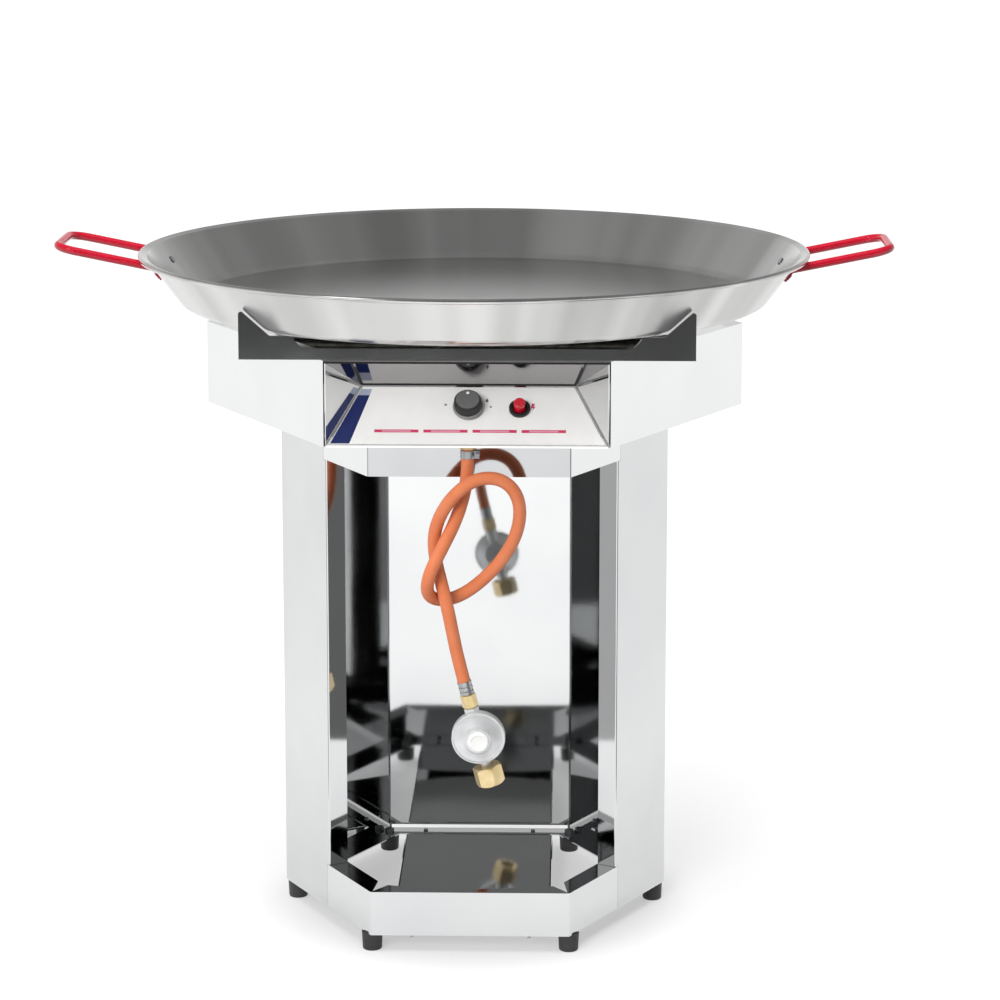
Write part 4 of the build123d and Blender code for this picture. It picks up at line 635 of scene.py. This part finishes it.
dialMarks = {
    "off": (-25.5, 6.2, 1.5), "high": (21.5, 12.5, 2.6), "low": (26.0, 3.4, 1.6),
    "sides": 24, "flameWidth": 0.62, "flamePinch": 0.35,
}
markTurns = [2 * math.pi * i / dialMarks["sides"] for i in range(dialMarks["sides"])]


def dropOutline(x, y, size):
    # a plain flame: round below, drawn to a point above
    points = []
    for turn in markTurns:
        pinch = 1 - dialMarks["flamePinch"] * math.cos(turn)
        points.append((x - size * dialMarks["flameWidth"] * math.sin(turn) * pinch, y + size * math.cos(turn)))
    return points


def dotOutline(x, y, size):
    return [(x + size * math.cos(turn), y + size * math.sin(turn)) for turn in markTurns]


printPatch("dialOff", dotOutline(*dialMarks["off"]), inks["grey"])
printPatch("dialHigh", dropOutline(*dialMarks["high"]), inks["grey"])
printPatch("dialLow", dropOutline(*dialMarks["low"]), inks["grey"])
print("panel printed")

knob = {
    "skirt": [(12.97, 5.0), (12.97, 3.8), (17.4, 3.8), (17.4, 6.0), (15.9, 6.6), (12.97, 6.6), (12.97, 5.0)],
    "grip": [(4.0, 9.0), (12.97, 9.0), (12.97, 6.4), (15.6, 6.4), (14.7, 17.6), (13.6, 19.0), (12.6, 19.05),
             (4.0, 19.05), (4.0, 9.0)],
    "crown": [(13.5, 18.4), (13.3, 19.2), (8.0, 19.45), (0.0, 19.5)],
    "ribs": {"Count": 44, "Radius": 14.95, "Width": 0.9, "Depth": 1.2, "Height": 9.6},
    "ribMiddle": 12.0, "gripArc": 0.7, "crownArc": 0.6, "skirtArc": 0.5,
}
knobFinishes = {
    "grip": finishes["knob_plastic"],
    # moulded ABS with a fine mould grain: mid grey
    "crown": grainedSkin("mouldedGreyAbs", ("#626262", "#6B6B6B"), (0.34, 0.46), grain=0.5, depth=0.03),
    # the same, paler
    "skirt": grainedSkin("mouldedPaleAbs", ("#7E7E7D", "#8B8B8A"), (0.3, 0.42), grain=0.5, depth=0.03),
}
for part, name, stands in (
    ("grip", "knobGrip", ("control_knob",)), ("crown", "knobCrown", ()), ("skirt", "knobSkirt", ()),
):
    mesh = turned(name, softened(knob[part], knob[part + "Arc"]), onPanel)
    makePiece(name, mesh, knobFinishes[part], "tap_knob", stands)


def growRibs(name, sizes, finish, where):
    tree, size = newGrowth(name, sizes)
    extent = addNode(tree, "ShaderNodeCombineXYZ", {"X": size["Depth"], "Y": size["Width"], "Z": size["Height"]})
    ring = addNode(tree, "GeometryNodeMeshCircle", {"Vertices": size["Count"], "Radius": size["Radius"]})
    rib = addNode(tree, "GeometryNodeMeshCube", {"Size": extent.outputs["Vector"], "Vertices X": 3, "Vertices Y": 3})
    outward = addNode(tree, "GeometryNodeInputPosition")
    facing = addNode(tree, "FunctionNodeAlignRotationToVector", {"Vector": outward.outputs["Position"]},
                     axis="X", pivot_axis="Z")
    ribs = addNode(tree, "GeometryNodeInstanceOnPoints", {
        "Points": ring.outputs["Mesh"], "Instance": rib.outputs["Mesh"], "Rotation": facing.outputs["Rotation"],
    })
    return grown(name, tree, sizes, ribs.outputs["Instances"], finish, where)


onGrip = onPanel @ Matrix.Translation((0, 0, knob["ribMiddle"]))
ribMesh = growRibs("knobRibs", knob["ribs"], knobFinishes["grip"], onGrip)
makePiece("knobRibs", ribMesh, knobFinishes["grip"], "tap_knob")
print("knob turned and ribbed")

igniter = {
    "seat": (59.0, -242.63, 665.688),
    "bezel": [(0.0, -16.0), (8.2, -16.0), (8.2, 0.0), (7.2, 0.0), (7.2, 3.6), (9.6, 4.6), (11.0, 5.0), (12.25, 3.9),
              (12.25, 0.3), (9.0, 0.3), (9.0, -26.0), (0.0, -26.0)],
    "button": [(0.0, -4.0), (7.8, -4.0), (7.8, -1.0), (6.8, -1.0), (6.7, 13.6), (5.4, 15.0), (0.0, 14.4)],
    "bezelArc": 0.5, "buttonArc": 0.9,
}
atIgniter = axesAt(igniter["seat"], panel["across"], panel["out"])
bezelMesh = turned("igniterBezel", softened(igniter["bezel"], igniter["bezelArc"]), atIgniter)
makePiece("igniterBezel", bezelMesh, finishes["black_plastic"], "stand", ("igniter_body",))
buttonMesh = turned("igniterButton", softened(igniter["button"], igniter["buttonArc"]), atIgniter)
makePiece("igniterButton", buttonMesh, finishes["red_plastic"], "spark_button", ("igniter_button",))
print("igniter turned")

# Regulator on the hose's end
hoseEnd = Vector(hose["route"][-1])
drop = (hoseEnd - Vector(hose["route"][-2])).normalized()
regulator = {
    "centre": 68.0,
    "cover": [(0.0, 8.0), (31.0, 8.0), (31.0, 11.6), (29.9, 12.7), (28.7, 12.3), (28.2, 11.4), (24.0, 13.2),
              (17.4, 17.4), (15.6, 19.6), (14.6, 21.9), (0.0, 21.9)],
    "cap": [(0.0, 22.0), (12.4, 22.0), (12.4, 25.2), (10.6, 26.5), (8.6, 26.55), (8.0, 26.0), (0.0, 26.0)],
    "union": [(0.0, 16.0), (7.4, 16.0), (9.3, 17.1), (9.3, 31.0), (7.4, 32.1), (7.0, 32.2), (7.0, 33.0), (0.0, 33.0)],
    "coverSides": 128, "unionAcross": 16.0, "coverArc": 0.9, "capArc": 0.8, "unionArc": 0.3,
}
facing = Vector((0, -1, 0)) + drop * drop.y
onDish = axesAt(hoseEnd + drop * regulator["centre"], drop, facing)
coverLine = softened(regulator["cover"], regulator["coverArc"])
coverMesh = turned("regulatorCover", coverLine, onDish, regulator["coverSides"])
regulatorCover = makePiece("regulatorCover", coverMesh, finishes["cast_zinc"], "stand",
                           ("regulator_cover",))
capMesh = turned("regulatorCap", softened(regulator["cap"], regulator["capArc"]), onDish)
regulatorCap = makePiece("regulatorCap", capMesh, finishes["white_plastic"], "stand",
                         ("regulator_cap",))
unionLine = softened(regulator["union"], regulator["unionArc"])
onHose = axesAt(hoseEnd, facing, drop)
unionMesh = turned("hoseUnion", unionLine, onHose, outline=hexagon(regulator["unionAcross"]))
hoseUnion = makePiece("hoseUnion", unionMesh, finishes["tap_brass"], "stand", ("hose_union",))
print("regulator turned")
